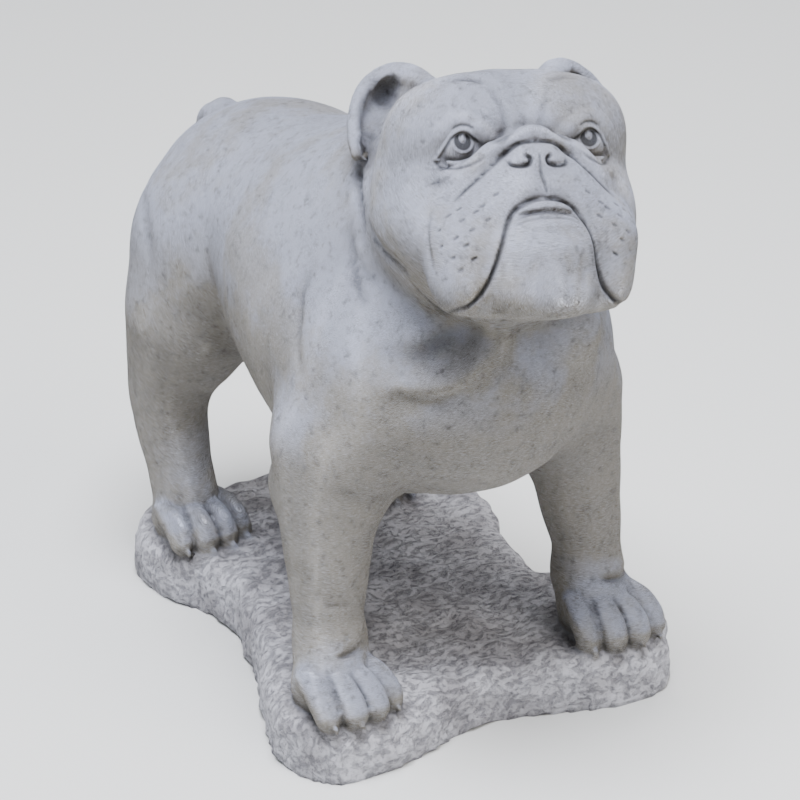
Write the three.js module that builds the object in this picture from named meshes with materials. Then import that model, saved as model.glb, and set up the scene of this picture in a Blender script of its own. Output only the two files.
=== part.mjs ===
// A garden statue of a standing bulldog, cast in one with its rough rock base.
// Millimetres, +Z up. The dog faces -Y and its own right side is -X.
// The origin is the middle of the base's flat underside, which rests on the ground at z = 0.
// The shape is written as a field: below zero inside the cast, above zero outside it.
// The field is walked in small cells, turned into a fine skin and thinned to flat facets.
import * as THREE from "three";
import { triTable } from "three/addons/objects/MarchingCubes.js";

// Driving dimensions
const dogHeight = 460; // from the top of the base to the top of the ears
const baseThickness = 40;
const baseLength = 396;
const baseWidth = 320;
const dogForward = 107; // how far the forelegs stand in front of the middle of the base
const baseEdgeRound = 14;

// Fineness of the facets
const cellSize = 4;
const facetCount = 9600;
const headFineness = 5;
const pawFineness = 2;

// The dog is drawn in units of a 460th of its height, with its paws standing at 40
const unit = dogHeight / 460;
const drawnDeck = 40;
const drawnFront = -175; // the drawing starts here, ahead of the forelegs
const drawnBack = 360; // and ends here, behind the tail

// The head's own frame inside the drawing: origin between the eyes, y back, z up, in degrees
const headPlace = new THREE.Vector3(3.8, -86, 441.3);
const headYaw = -13;
const headPitch = -30;
const headRoll = 5;

const farShare = 0.94; // the left half of the head is this much narrower than the right

const bothSides = [-1, 1];

// Points drawn for the left side, put on the side given
function mirrored(side, points) {
  return points.map(([x, ...rest]) => [side * x, ...rest]);
}

// Smooth joining of two fields over the width given
function blendMin(a, b, width) {
  const overlap = Math.max(width - Math.abs(a - b), 0) / width;
  return Math.min(a, b) - overlap * overlap * width / 4;
}

function blendMax(a, b, width) {
  return -blendMin(-a, -b, width);
}

// Turns about x, then y, then z, in degrees
function turnMatrix(x, y, z) {
  const radians = [x, y, z].map(THREE.MathUtils.degToRad);
  return new THREE.Matrix4().makeRotationFromEuler(new THREE.Euler(...radians, "ZYX"));
}

function boxAround(points, reach) {
  const box = new THREE.Box3().setFromPoints(points);
  return box.expandByScalar(reach);
}

// An ellipsoid with the radii given, turned about its centre
function ball(centre, radii, turn = [0, 0, 0]) {
  const [cx, cy, cz] = centre;
  const [rx, ry, rz] = radii;
  const m = turnMatrix(...turn).elements;
  const distance = (x, y, z) => {
    const dx = x - cx;
    const dy = y - cy;
    const dz = z - cz;
    const u = (dx * m[0] + dy * m[1] + dz * m[2]) / rx;
    const v = (dx * m[4] + dy * m[5] + dz * m[6]) / ry;
    const w = (dx * m[8] + dy * m[9] + dz * m[10]) / rz;
    const near = Math.hypot(u, v, w);
    const slope = Math.hypot(u / rx, v / ry, w / rz) + 1e-9;
    return near * (near - 1) / slope;
  };
  return { distance, box: boxAround([new THREE.Vector3(...centre)], Math.max(...radii)) };
}

// Points along a smooth curve, each with its share of the way
function curvePoints(points, perSpan = 6) {
  const curve = new THREE.CatmullRomCurve3(points.map((p) => new THREE.Vector3(...p)), false, "catmullrom");
  return curve.getPoints((points.length - 1) * perSpan);
}

// A value at a share of the way along a list of evenly spaced values
function valueAlong(values, share) {
  const at = share * (values.length - 1);
  const index = Math.min(Math.floor(at), values.length - 2);
  return values[index] + (values[index + 1] - values[index]) * (at - index);
}

// Distance to a chain of points, less the radius there; shares run evenly over the chain
function chainDistance(chain, x, y, z) {
  let best = Infinity;
  let share = 0;
  for (let i = 0; i < chain.length - 1; i += 1) {
    const a = chain[i];
    const b = chain[i + 1];
    const ex = b.x - a.x;
    const ey = b.y - a.y;
    const ez = b.z - a.z;
    const along = ((x - a.x) * ex + (y - a.y) * ey + (z - a.z) * ez) / (ex * ex + ey * ey + ez * ez);
    const t = Math.min(Math.max(along, 0), 1);
    const gap = Math.hypot(x - a.x - t * ex, y - a.y - t * ey, z - a.z - t * ez);
    if (gap < best) {
      best = gap;
      share = (i + t) / (chain.length - 1);
    }
  }
  return [best, share];
}

// A rounded rope of changing radius along a curve
function rope(points, radii) {
  const chain = curvePoints(points);
  const distance = (x, y, z) => {
    const [gap, share] = chainDistance(chain, x, y, z);
    return gap - valueAlong(radii, share);
  };
  return { distance, box: boxAround(chain, Math.max(...radii)) };
}

// A limb that tapers between two rounded ends
function limb(start, end, startRadius, endRadius) {
  const chain = [new THREE.Vector3(...start), new THREE.Vector3(...end)];
  const distance = (x, y, z) => {
    const [gap, share] = chainDistance(chain, x, y, z);
    return gap - startRadius - (endRadius - startRadius) * share;
  };
  return { distance, box: boxAround(chain, Math.max(startRadius, endRadius)) };
}

// Forms joined, cut away and scored one after another
class Sculpture {
  constructor() {
    this.steps = [];
  }

  add(blend, ...forms) {
    for (const form of forms) {
      const box = form.box.clone().expandByScalar(blend + 30);
      this.steps.push({ box, apply: (field, x, y, z) => blendMin(field, form.distance(x, y, z), blend) });
    }
  }

  cut(blend, form) {
    const box = form.box.clone().expandByScalar(blend + 30);
    this.steps.push({ box, apply: (field, x, y, z) => blendMax(field, -form.distance(x, y, z), blend) });
  }

  // A furrow on the surface along a curve; a depth below zero raises a ridge
  furrow(points, width, depths) {
    const chain = curvePoints(points);
    const apply = (field, x, y, z) => {
      const [gap, share] = chainDistance(chain, x, y, z);
      return field + valueAlong(depths, share) * Math.exp(-((gap / width) ** 2));
    };
    this.steps.push({ box: boxAround(chain, 3 * width), apply });
  }

  // A line scored into everything that faces forward, drawn as x and z; it ends behind the y given
  score(points, width, depths, behind = 0) {
    const chain = curvePoints(points.map(([x, z]) => [x, 0, z]));
    const fadeLength = 12;
    const box = boxAround(chain, 3 * width);
    box.min.y = -Infinity;
    box.max.y = behind + fadeLength;
    const apply = (field, x, y, z) => {
      const [gap, share] = chainDistance(chain, x, 0, z);
      const fade = Math.min((behind + fadeLength - y) / fadeLength, 1);
      return field + fade * valueAlong(depths, share) * Math.exp(-((gap / width) ** 2));
    };
    this.steps.push({ box, apply });
  }

  distance(x, y, z) {
    let field = 1000;
    for (const { box, apply } of this.steps) {
      const { min, max } = box;
      if (x < min.x || x > max.x || y < min.y || y > max.y || z < min.z || z > max.z) {
        continue;
      }
      field = apply(field, x, y, z);
    }
    return field;
  }
}

// Skull, brow, cheeks, jaw and the loose upper lips
function headMasses(head) {
  head.add(1, ball([0, 50, 3], [76, 58, 55]));
  for (const side of bothSides) {
    const wide = side > 0 ? farShare : -1;
    head.add(20, ball([wide * 46, 54, -34], [44, 42, 56]));
    head.add(18, ball([wide * 38, 20, 20], [38, 28, 29], [0, side * 12, 0]));
    head.add(18, ball([wide * 54, 36, 8], [25, 32, 32]));
  }
  head.add(24, ball([0, 10, -50], [56, 40, 44]), ball([0, 40, -78], [56, 54, 34]));
  for (const side of bothSides) {
    const wide = side > 0 ? farShare : -1;
    const pad = mirrored(side, [[22, -17, -19], [40, -9, -36], [57, 1, -54]]);
    const jawSkin = mirrored(side, [[16, -20, -100], [34, -8, -105], [50, 10, -101]]);
    const lipFloor = mirrored(side, [[18, -26, -60], [28, -22, -80], [38, -10, -98]]);
    head.add(14, ball([wide * 60, 22, -44], [24, 28, 34]));
    head.add(10, limb([side * 14, -20, -32], [side * 43, -7, -63], 18, 27));
    head.add(8, rope(pad, [11, 12, 11]));
    head.add(10, ball([wide * 47, 1, -66], [23, 26, 32]));
    head.add(10, ball([wide * 50, -4, -86], [19, 22, 24], [0, side * -14, 0]));
    head.add(5, rope(jawSkin, [9, 8, 7]), rope(lipFloor, [10, 11, 10]));
  }
}

// Chin between the hanging lips, the open mouth, the teeth and the lower lip
function mouth(head) {
  const lowerLip = [[-26, -39, -64], [-17, -45, -58], [0, -47.5, -57], [17, -45, -58], [26, -39, -64]];
  for (const side of bothSides) {
    head.add(8, limb([side * 15, -26, -72], [side * 15, -19, -96], 20, 20));
  }
  head.add(8, limb([0, -29, -74], [0, -23, -97], 21, 20));
  head.cut(3, ball([0, -52, -48.5], [23, 16, 6.5]));
  for (const side of bothSides) {
    head.cut(3, rope(mirrored(side, [[16, -56, -50], [25, -50, -60], [31, -46, -74]]), [5, 4, 3]));
  }
  head.add(3, rope([[-16, -39, -49.5], [0, -43, -47], [16, -39, -49.5]], [3.6, 4, 3.6]));
  head.add(5, rope(lowerLip, [2.6, 3.4, 3.6, 3.4, 2.6]));
}

// Nose pad, nostrils and the roll of skin that hangs over them like a rope
function noseAndFold(head) {
  const halfRoll = [[26, -19.5, -5.5], [46, -11, -23], [62, 2, -40]];
  const roll = [...mirrored(-1, halfRoll).reverse(), [0, -23, 4], ...halfRoll];
  head.add(6, ball([0, -20, -14], [21, 14, 12]));
  head.add(4, rope(roll, [3, 6, 6.5, 6.5, 6.5, 6, 3]));
  for (const side of bothSides) {
    const under = [[0, -3], [12, -4.2], [21.5, -10.5], [39, -27], [55, -44]];
    const over = [[0, 12], [16, 7], [30, -3], [46, -16], [58, -30]];
    const nostril = [[6.4, -12], [6.5, -17], [13, -19.5], [18.5, -17]];
    const lip = [[0, -42.5], [13, -44], [22, -51], [28.7, -63], [33, -78], [37, -91], [45, -101], [54, -106]];
    head.score(mirrored(side, under), 2.4, [3, 4, 4.5, 4, 1], 10);
    head.score(mirrored(side, over), 3, [1, 2, 2, 1.5, 0.5]);
    head.score(mirrored(side, nostril), 2.2, [3, 5, 5, 3], 10);
    head.score(mirrored(side, lip), 2.6, [2, 3, 3.5, 3.5, 3.5, 3.5, 3, 1]);
  }
  head.score([[0, -10], [0, -30], [0, -42]], 2, [1, 2.5, 3], 10);
}

// Eyeball in its socket with both lids, the furrow of the brow and the folds of the cheek
function eyeAndBrow(head, side) {
  const socket = [[31, -13, 0], [37, -14, 1], [43, -14, 0], [49, -12, -3], [55, -7, -8]];
  const upperLid = [[28, -5, 1], [35, -7, 7.5], [43, -8, 9.6], [51, -5.5, 4.5], [58, 1, -8]];
  const lowerLid = [[28, -5, 0], [35, -7, -7.5], [45, -7, -11.5], [53, -3, -13], [59, 2, -10]];
  const cheekBack = [[90, 66, -42], [88, 52, -60], [81, 36, -78], [72, 27, -92], [60, 32, -104]];
  head.cut(2.5, rope(mirrored(side, socket), [3, 6.5, 8, 7, 3.5]));
  head.add(1, ball([side * 43.5, 3, -0.5], [12.8, 12.8, 12.8]));
  head.add(4, rope(mirrored(side, upperLid), [2, 2.8, 3.2, 2.8, 2]));
  head.add(4, rope(mirrored(side, lowerLid), [2, 2.6, 2.8, 2.6, 2]));
  head.score(mirrored(side, [[16, 40], [12.5, 30], [12, 20], [13, 11], [17, 6]]), 3.6, [1, 3, 5, 5, 3]);
  head.score(mirrored(side, [[14, 38], [24, 44], [38, 45], [62, 28]]), 3.4, [1.5, 2, 2, 0.5], 35);
  head.furrow(mirrored(side, [[84, 14, -10], [75, 4, -12], [63, -3, -12], [53, -8, -14]]), 4, [1, 3, 1]);
  head.furrow(mirrored(side, [[68, 2, -44], [71, 4, -56], [72, 6, -70], [69, 8, -84]]), 4.5, [0.5, 2, 2, 1]);
  head.cut(7, rope(mirrored(side, cheekBack), [2, 4, 7, 6, 3]));
}

// A folded-back ear: a shell behind, a rolled rim over it and a hollow in front
function ear(head, side) {
  const rim = [
    [38, 72, 50], [50, 78, 60], [63, 84, 62], [77, 86, 53], [85, 86, 36], [88, 82, 20], [91, 78, 8],
  ];
  const hollow = [[64, 79, 54], [69.5, 79, 45], [75.5, 80, 32], [80, 79, 20], [84, 76, 11]];
  const innerFold = [[73, 87, 41], [79, 86, 33], [77, 84, 26]];
  head.cut(8, ball([side * 86, 74, 28], [15, 20, 34]));
  head.add(8, ball([side * 62, 88, 34], [28, 13, 31], [0, 0, side * 16]));
  head.add(5, rope(mirrored(side, rim), [8, 9, 8, 7.5, 7.5, 7.5, 4]));
  head.cut(2.5, rope(mirrored(side, hollow), [6, 9.5, 8.5, 6.5, 4]));
  head.add(4, rope(mirrored(side, innerFold), [3.5, 4.5, 3.5]));
}

function makeHead() {
  const head = new Sculpture();
  headMasses(head);
  mouth(head);
  noseAndFold(head);
  for (const side of bothSides) {
    eyeAndBrow(head, side);
    ear(head, side);
  }
  const tilt = turnMatrix(headPitch, 0, 0).multiply(turnMatrix(0, headRoll, 0));
  const place = turnMatrix(0, 0, headYaw).multiply(tilt);
  const m = place.elements;
  const distance = (x, y, z) => {
    const dx = x - headPlace.x;
    const dy = y - headPlace.y;
    const dz = z - headPlace.z;
    return head.distance(
      dx * m[0] + dy * m[1] + dz * m[2],
      dx * m[4] + dy * m[5] + dz * m[6],
      dx * m[8] + dy * m[9] + dz * m[10],
    );
  };
  return { distance, box: boxAround([headPlace], 180) };
}

// A paw with a pad and four clawed toes, heading forward but for the turn given
function paw(dog, centre, heading, width, length) {
  const turn = turnMatrix(0, 0, heading);
  const at = (x, y, z) => {
    const place = new THREE.Vector3(x, y, z).applyMatrix4(turn);
    return [centre[0] + place.x, centre[1] + place.y, centre[2] + place.z];
  };
  const toes = [[-0.37, 7, 0.125], [-0.125, 0, 0.145], [0.125, 0, 0.145], [0.37, 7, 0.125]];
  dog.add(12, ball(at(0, 6, 13), [width * 0.47, length * 0.5, 17]));
  for (const [share, back, thickness] of toes) {
    const x = width * share;
    const radius = width * thickness;
    const tip = back - length * 0.52 - radius * 0.9;
    const knuckles = [
      at(x * 0.8, back - length * 0.02, 30),
      at(x * 0.95, back - length * 0.22, 27),
      at(x, back - length * 0.42, 19),
      at(x * 1.01, back - length * 0.52, radius * 1.02),
    ];
    const claw = [at(x * 1.01, tip + 3, radius * 0.8), at(x * 1.02, tip - 2, radius * 0.4)];
    dog.add(5, rope(knuckles, [radius * 0.9, radius * 1.02, radius * 1.04, radius * 0.98]));
    dog.add(3, rope(claw, [2.8, 2]));
  }
}

function foreleg(dog, side) {
  const pawX = side < 0 ? -112 : 104;
  const bones = [[95, -2, 214], [99, -7, 172], [102, -12, 132], [105, -17, 98], [105, -20, 72]];
  dog.add(26, ball([side * 80, -4, 245], [38, 54, 84], [0, side * -5, 0]));
  dog.add(22, rope(mirrored(side, bones), [39, 34.5, 29, 24.5, 23.5]));
  dog.add(12, ball([side * 104, 18, 178], [22, 26, 26]));
  dog.add(12, limb([side * 105, -20, 76], [pawX, -34, 62], 23, 24));
  paw(dog, [pawX, -46, drawnDeck], side * -4, 64, 62);
}

function hindLeg(dog, side) {
  const bones = [[68, 250, 205], [73, 262, 165], [75, 264, 128], [74, 254, 92], [73, 246, 68]];
  dog.add(30, ball([side * 60, 248, 236], [44, 56, 80], [8, 0, 0]));
  dog.add(24, rope(mirrored(side, bones), [40, 33, 27.5, 24, 24]));
  paw(dog, [side * 72, 234, drawnDeck], side * -4, 62, 58);
}

// Loose skin hanging under the jaw on to the breast
function dewlap(dog) {
  const fold = [[-84, -66, 280], [-56, -89, 285], [-35, -95, 298], [-21, -96, 315], [-24, -98, 332]];
  const below = [[-88, -66, 280], [-73, -84, 274], [-56, -97, 279], [-40, -104, 290], [-28, -106, 304]];
  const above = [[-80, -62, 304], [-66, -73, 304], [-54, -78, 311], [-44, -84, 320]];
  const middle = [[-24, -110, 334], [-25, -107, 320], [-26, -106, 306], [-19, -103, 290]];
  const left = [[14, -102, 320], [14, -103, 305], [22, -106, 288], [38, -104, 276]];
  dog.add(10, rope(fold, [4, 9, 10, 10, 8]));
  dog.add(12, ball([38, -90, 301], [26, 17, 26]));
  dog.furrow(below, 5, [1, 3.5, 4, 3, 1]);
  dog.furrow(above, 8, [2, 6, 7, 5]);
  dog.furrow(middle, 4, [4, 4, 3, 1]);
  dog.furrow(left, 6, [3, 4.5, 4, 1.5]);
}

// Creases behind the cheek, at the shoulders and armpits, on the rump and flank and above the paws
function creases(dog) {
  const neck = [[-58, 21, 408], [-67, 1, 394], [-73, -12, 381], [-76, -15, 366]];
  const neckRoll = [[-76, -2, 376], [-80, -6, 358], [-83, -10, 344], [-84, -24, 332], [-76, -44, 322]];
  const shoulder = [[-92, 22, 338], [-99, 23, 316], [-105, 16, 303], [-112, 10, 288], [-116, -4, 272]];
  const rump = [[-77, 290, 301], [-99, 251, 287], [-103, 237, 267], [-104, 234, 252]];
  const rightArmpit = [[-112, -44, 197], [-85, -50, 190], [-60, -46, 188], [-36, -66, 194]];
  const leftArmpit = [[38, -80, 210], [62, -68, 201], [84, -52, 196], [106, -44, 198]];
  dog.furrow(neck, 3.5, [4, 4, 4, 2]);
  dog.furrow(neckRoll, 4, [1.5, 3, 3.5, 3, 1]);
  dog.furrow(shoulder, 4.5, [1, 4, 4, 2.5, 1]);
  dog.furrow(rump, 5, [0.5, 2.5, 3, 1]);
  dog.furrow(rightArmpit, 6, [2, 5, 5, 1]);
  dog.furrow(leftArmpit, 6, [2, 5, 5, 1]);
  for (const side of bothSides) {
    const flank = [[97, 190, 300], [90, 180, 275], [85, 174, 253], [78, 176, 236], [67, 190, 208]];
    const ankle = [[130, -18, 76], [122, -42, 76], [106, -48, 79], [88, -38, 81]];
    dog.furrow(mirrored(side, flank), 7, [1, 4, 7, 5, 2]);
    dog.furrow(mirrored(side, ankle), 4, [1, 3, 3, 1]);
  }
}

function makeDog() {
  const dog = new Sculpture();
  dog.add(1, ball([0, 54, 260], [108, 124, 115]));
  dog.add(60, ball([0, 178, 286], [82, 106, 84]));
  dog.add(50, ball([0, 257, 270], [84, 79, 80]));
  dog.add(50, limb([0, 84, 300], [0, 4, 362], 88, 74));
  dog.add(40, ball([0, -40, 268], [92, 66, 84]));
  dog.add(8, rope([[0, 312, 330], [0, 334, 318], [2, 341, 296]], [13, 10, 6]));
  for (const side of bothSides) {
    foreleg(dog, side);
    hindLeg(dog, side);
  }
  dewlap(dog);
  creases(dog);
  dog.add(12, makeHead());
  return dog;
}

// Outline of the rock seen from above: shares of half its width and half its length
const baseOutline = [
  [-0.83, -0.95], [-0.96, -0.7], [-0.8, -0.36], [-0.62, 0.0], [-0.54, 0.3], [-0.67, 0.68], [-0.53, 0.95],
  [0, 0.99], [0.55, 0.98], [0.86, 0.84], [0.95, 0.5], [0.8, 0.08], [0.76, -0.18], [0.98, -0.46],
  [1, -0.68], [0.85, -0.93], [0.55, -0.97], [0, -0.84], [-0.45, -0.93],
];

function makeBase() {
  const corners = baseOutline.map(([x, y]) => new THREE.Vector3(x * baseWidth / 2, y * baseLength / 2, 0));
  const outline = new THREE.CatmullRomCurve3(corners, true, "catmullrom").getPoints(corners.length * 5);
  return (x, y, z) => {
    if (z > 2 * baseThickness) {
      return z - baseThickness;
    }
    let gap = Infinity;
    let inside = false;
    for (let i = 0; i < outline.length - 1; i += 1) {
      const a = outline[i];
      const b = outline[i + 1];
      const ex = b.x - a.x;
      const ey = b.y - a.y;
      const along = ((x - a.x) * ex + (y - a.y) * ey) / (ex * ex + ey * ey);
      const t = Math.min(Math.max(along, 0), 1);
      gap = Math.min(gap, Math.hypot(x - a.x - t * ex, y - a.y - t * ey));
      if ((a.y > y) !== (b.y > y) && x < a.x + (y - a.y) / ey * ex) {
        inside = !inside;
      }
    }
    const sideways = (inside ? -gap : gap) + baseEdgeRound;
    const upward = z - baseThickness + baseEdgeRound;
    const corner = Math.hypot(Math.max(sideways, 0), Math.max(upward, 0));
    return Math.min(Math.max(sideways, upward), 0) + corner - baseEdgeRound;
  };
}

// Dog and base as one cast, flat underneath
function makeStatueField() {
  const dog = makeDog();
  const base = makeBase();
  const footBlend = 10;
  return (x, y, z) => {
    const drawn = [x / unit, (y + dogForward) / unit, (z - baseThickness) / unit + drawnDeck];
    const dogField = dog.distance(...drawn) * unit;
    return Math.max(blendMin(base(x, y, z), dogField, footBlend), -z);
  };
}

// Corners of a cell, and the pair of corners that each of its twelve edges joins
const cellCorners = [
  [0, 0, 0], [1, 0, 0], [1, 1, 0], [0, 1, 0], [0, 0, 1], [1, 0, 1], [1, 1, 1], [0, 1, 1],
];
const cellEdges = [
  [0, 1], [1, 2], [2, 3], [3, 0], [4, 5], [5, 6], [6, 7], [7, 4], [0, 4], [1, 5], [2, 6], [3, 7],
];

// Edges that the skin crosses, three to a triangle, for each choice of corners inside the cast
const cellTriangles = Array.from({ length: 256 }, (_, code) => {
  const row = Array.from(triTable.slice(code * 16, code * 16 + 16));
  return row.slice(0, row.indexOf(-1));
});

// Walks the space in cells and returns the closed skin where the field is zero
function makeSkin(field, low, high) {
  const blockCells = 4;
  const blockSize = blockCells * cellSize;
  const blocks = low.map((start, axis) => Math.ceil((high[axis] - start) / blockSize));
  const counts = blocks.map((count) => count * blockCells + 1);
  const row = counts[0];
  const layer = row * counts[1];
  const values = new Float64Array(layer * counts[2]).fill(NaN);
  const positions = [];
  const triangles = [];
  const edgeVertices = new Map();
  const pointAt = (index) => {
    const k = Math.floor(index / layer);
    const j = Math.floor((index - k * layer) / row);
    const i = index - k * layer - j * row;
    return [low[0] + i * cellSize, low[1] + j * cellSize, low[2] + k * cellSize];
  };
  const valueAt = (index) => {
    if (Number.isNaN(values[index])) {
      values[index] = field(...pointAt(index));
    }
    return values[index];
  };
  const vertexOn = (a, b) => {
    const key = Math.min(a, b) * values.length + Math.max(a, b);
    if (!edgeVertices.has(key)) {
      const share = THREE.MathUtils.clamp(values[a] / (values[a] - values[b]), 0.05, 0.95);
      const end = pointAt(b);
      edgeVertices.set(key, positions.length / 3);
      positions.push(...pointAt(a).map((value, axis) => value + (end[axis] - value) * share));
    }
    return edgeVertices.get(key);
  };
  const cutCell = (corners) => {
    const code = corners.reduce((sum, corner, bit) => sum + (valueAt(corner) < 0 ? 1 << bit : 0), 0);
    const edges = cellTriangles[code];
    for (let at = 0; at < edges.length; at += 3) {
      const ends = [edges[at], edges[at + 2], edges[at + 1]].map((edge) => cellEdges[edge]);
      triangles.push(...ends.map(([a, b]) => vertexOn(corners[a], corners[b])));
    }
  };
  const walkBlock = (bi, bj, bk) => {
    for (let k = bk * blockCells; k < (bk + 1) * blockCells; k += 1) {
      for (let j = bj * blockCells; j < (bj + 1) * blockCells; j += 1) {
        for (let i = bi * blockCells; i < (bi + 1) * blockCells; i += 1) {
          cutCell(cellCorners.map(([x, y, z]) => (i + x) + (j + y) * row + (k + z) * layer));
        }
      }
    }
  };
  for (let bk = 0; bk < blocks[2]; bk += 1) {
    for (let bj = 0; bj < blocks[1]; bj += 1) {
      for (let bi = 0; bi < blocks[0]; bi += 1) {
        const middle = [bi, bj, bk].map((block, axis) => low[axis] + (block + 0.5) * blockSize);
        if (Math.abs(field(...middle)) < blockSize * 1.4) {
          walkBlock(bi, bj, bk);
        }
      }
    }
  }
  return { positions, triangles: largestBody(triangles, positions.length / 3) };
}

// The triangles of the one body with the most of them; crumbs cut loose by a score are left out
function largestBody(triangles, vertexCount) {
  const parent = Array.from({ length: vertexCount }, (_, vertex) => vertex);
  const rootOf = (vertex) => {
    let root = vertex;
    while (parent[root] !== root) {
      parent[root] = parent[parent[root]];
      root = parent[root];
    }
    return root;
  };
  for (let i = 0; i < triangles.length; i += 3) {
    const root = rootOf(triangles[i]);
    parent[rootOf(triangles[i + 1])] = root;
    parent[rootOf(triangles[i + 2])] = root;
  }
  const sizes = new Map();
  triangles.forEach((vertex) => sizes.set(rootOf(vertex), (sizes.get(rootOf(vertex)) || 0) + 1));
  const [largest] = [...sizes].sort((a, b) => b[1] - a[1])[0];
  return triangles.filter((vertex) => rootOf(vertex) === largest);
}

// A queue that gives back its cheapest entry first
class CheapestFirst {
  constructor() {
    this.entries = [];
  }

  push(entry) {
    const { entries } = this;
    let at = entries.length;
    entries.push(entry);
    while (at > 0) {
      const parent = (at - 1) >> 1;
      if (entries[parent].cost <= entry.cost) {
        break;
      }
      entries[at] = entries[parent];
      at = parent;
    }
    entries[at] = entry;
  }

  pop() {
    const { entries } = this;
    const cheapest = entries[0];
    const last = entries.pop();
    if (entries.length > 0) {
      let at = 0;
      for (;;) {
        let child = 2 * at + 1;
        if (child >= entries.length) {
          break;
        }
        if (child + 1 < entries.length && entries[child + 1].cost < entries[child].cost) {
          child += 1;
        }
        if (entries[child].cost >= last.cost) {
          break;
        }
        entries[at] = entries[child];
        at = child;
      }
      entries[at] = last;
    }
    return cheapest;
  }
}

// Adds the squared distance to a triangle's plane, times its area, to a vertex's sum
function addPlane(sums, vertex, normal, offset, weight) {
  const n = [normal.x, normal.y, normal.z, offset];
  let at = vertex * 10;
  for (let i = 0; i < 4; i += 1) {
    for (let j = i; j < 4; j += 1) {
      sums[at] += n[i] * n[j] * weight;
      at += 1;
    }
  }
}

// Thins a closed skin to the facet count by joining the edges that matter least
function thinSkin({ positions, triangles }, weightAt) {
  const vertexCount = positions.length / 3;
  const sums = new Float64Array(vertexCount * 10);
  const facesOf = Array.from({ length: vertexCount }, () => new Set());
  const stamps = new Uint32Array(vertexCount);
  const at = (vertex) => new THREE.Vector3().fromArray(positions, vertex * 3);
  const cornersOf = (face) => triangles.slice(face * 3, face * 3 + 3);
  let faceCount = triangles.length / 3;
  for (let face = 0; face < faceCount; face += 1) {
    const corners = cornersOf(face);
    const [a, b, c] = corners.map(at);
    const normal = b.clone().sub(a).cross(c.clone().sub(a));
    const area = normal.length();
    normal.normalize();
    for (const corner of corners) {
      addPlane(sums, corner, normal, -normal.dot(a), area * weightAt(a));
      facesOf[corner].add(face);
    }
  }
  const costAt = (q, p) => {
    const { x, y, z } = p;
    return q[0] * x * x + 2 * q[1] * x * y + 2 * q[2] * x * z + 2 * q[3] * x + q[4] * y * y
      + 2 * q[5] * y * z + 2 * q[6] * y + q[7] * z * z + 2 * q[8] * z + q[9];
  };
  const solver = new THREE.Matrix3();
  const bestJoin = (a, b) => {
    const q = sums.slice(a * 10, a * 10 + 10).map((value, i) => value + sums[b * 10 + i]);
    const middle = at(a).add(at(b)).multiplyScalar(0.5);
    const spread = 1e-3 * (q[0] + q[4] + q[7]);
    solver.set(q[0] + spread, q[1], q[2], q[1], q[4] + spread, q[5], q[2], q[5], q[7] + spread);
    const pull = new THREE.Vector3(-q[3], -q[6], -q[8]).addScaledVector(middle, spread);
    const best = pull.applyMatrix3(solver.invert());
    const reach = at(a).distanceTo(at(b));
    const point = best.distanceTo(middle) < 1.5 * reach ? best : middle;
    return { point, cost: costAt(q, point) + 1e-4 * spread * reach * reach };
  };
  const queue = new CheapestFirst();
  const offer = (a, b) => {
    queue.push({ a, b, ...bestJoin(a, b), stampA: stamps[a], stampB: stamps[b] });
  };
  const neighboursOf = (vertex) => {
    const found = new Set();
    for (const face of facesOf[vertex]) {
      cornersOf(face).forEach((corner) => found.add(corner));
    }
    found.delete(vertex);
    return found;
  };
  const roundness = (corners, doubleArea) => {
    const longest = Math.max(...corners.map((p, i) => p.distanceToSquared(corners[(i + 1) % 3])));
    return doubleArea / (longest + 1e-9);
  };
  const turnsOver = (vertex, other, point) => {
    for (const face of facesOf[vertex]) {
      const corners = cornersOf(face);
      if (corners.includes(other)) {
        continue;
      }
      const before = corners.map(at);
      const after = corners.map((corner, i) => (corner === vertex ? point : before[i]));
      const oldNormal = before[1].clone().sub(before[0]).cross(before[2].clone().sub(before[0]));
      const newNormal = after[1].clone().sub(after[0]).cross(after[2].clone().sub(after[0]));
      const oldShape = roundness(before, oldNormal.length());
      const newShape = roundness(after, newNormal.length());
      const thinner = newShape < 0.08 && newShape < oldShape;
      if (oldNormal.normalize().dot(newNormal.normalize()) < 0.1 || thinner) {
        return true;
      }
    }
    return false;
  };
  for (let vertex = 0; vertex < vertexCount; vertex += 1) {
    neighboursOf(vertex).forEach((other) => vertex < other && offer(vertex, other));
  }
  while (faceCount > facetCount && queue.entries.length > 0) {
    const { a, b, point, stampA, stampB } = queue.pop();
    if (stamps[a] !== stampA || stamps[b] !== stampB) {
      continue;
    }
    const around = neighboursOf(a);
    const shared = [...neighboursOf(b)].filter((vertex) => around.has(vertex));
    if (shared.length !== 2 || turnsOver(a, b, point) || turnsOver(b, a, point)) {
      continue;
    }
    for (const face of facesOf[b]) {
      const corners = cornersOf(face);
      if (corners.includes(a)) {
        corners.forEach((corner) => corner !== b && facesOf[corner].delete(face));
        triangles[face * 3] = -1;
        faceCount -= 1;
      } else {
        triangles[face * 3 + corners.indexOf(b)] = a;
        facesOf[a].add(face);
      }
    }
    facesOf[b].clear();
    point.toArray(positions, a * 3);
    sums.subarray(a * 10, a * 10 + 10).forEach((value, i, own) => {
      own[i] = value + sums[b * 10 + i];
    });
    stamps[a] += 1;
    stamps[b] = 2 ** 31;
    neighboursOf(a).forEach((other) => offer(a, other));
  }
  return triangles.filter((_, i) => triangles[i - (i % 3)] >= 0);
}

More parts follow.
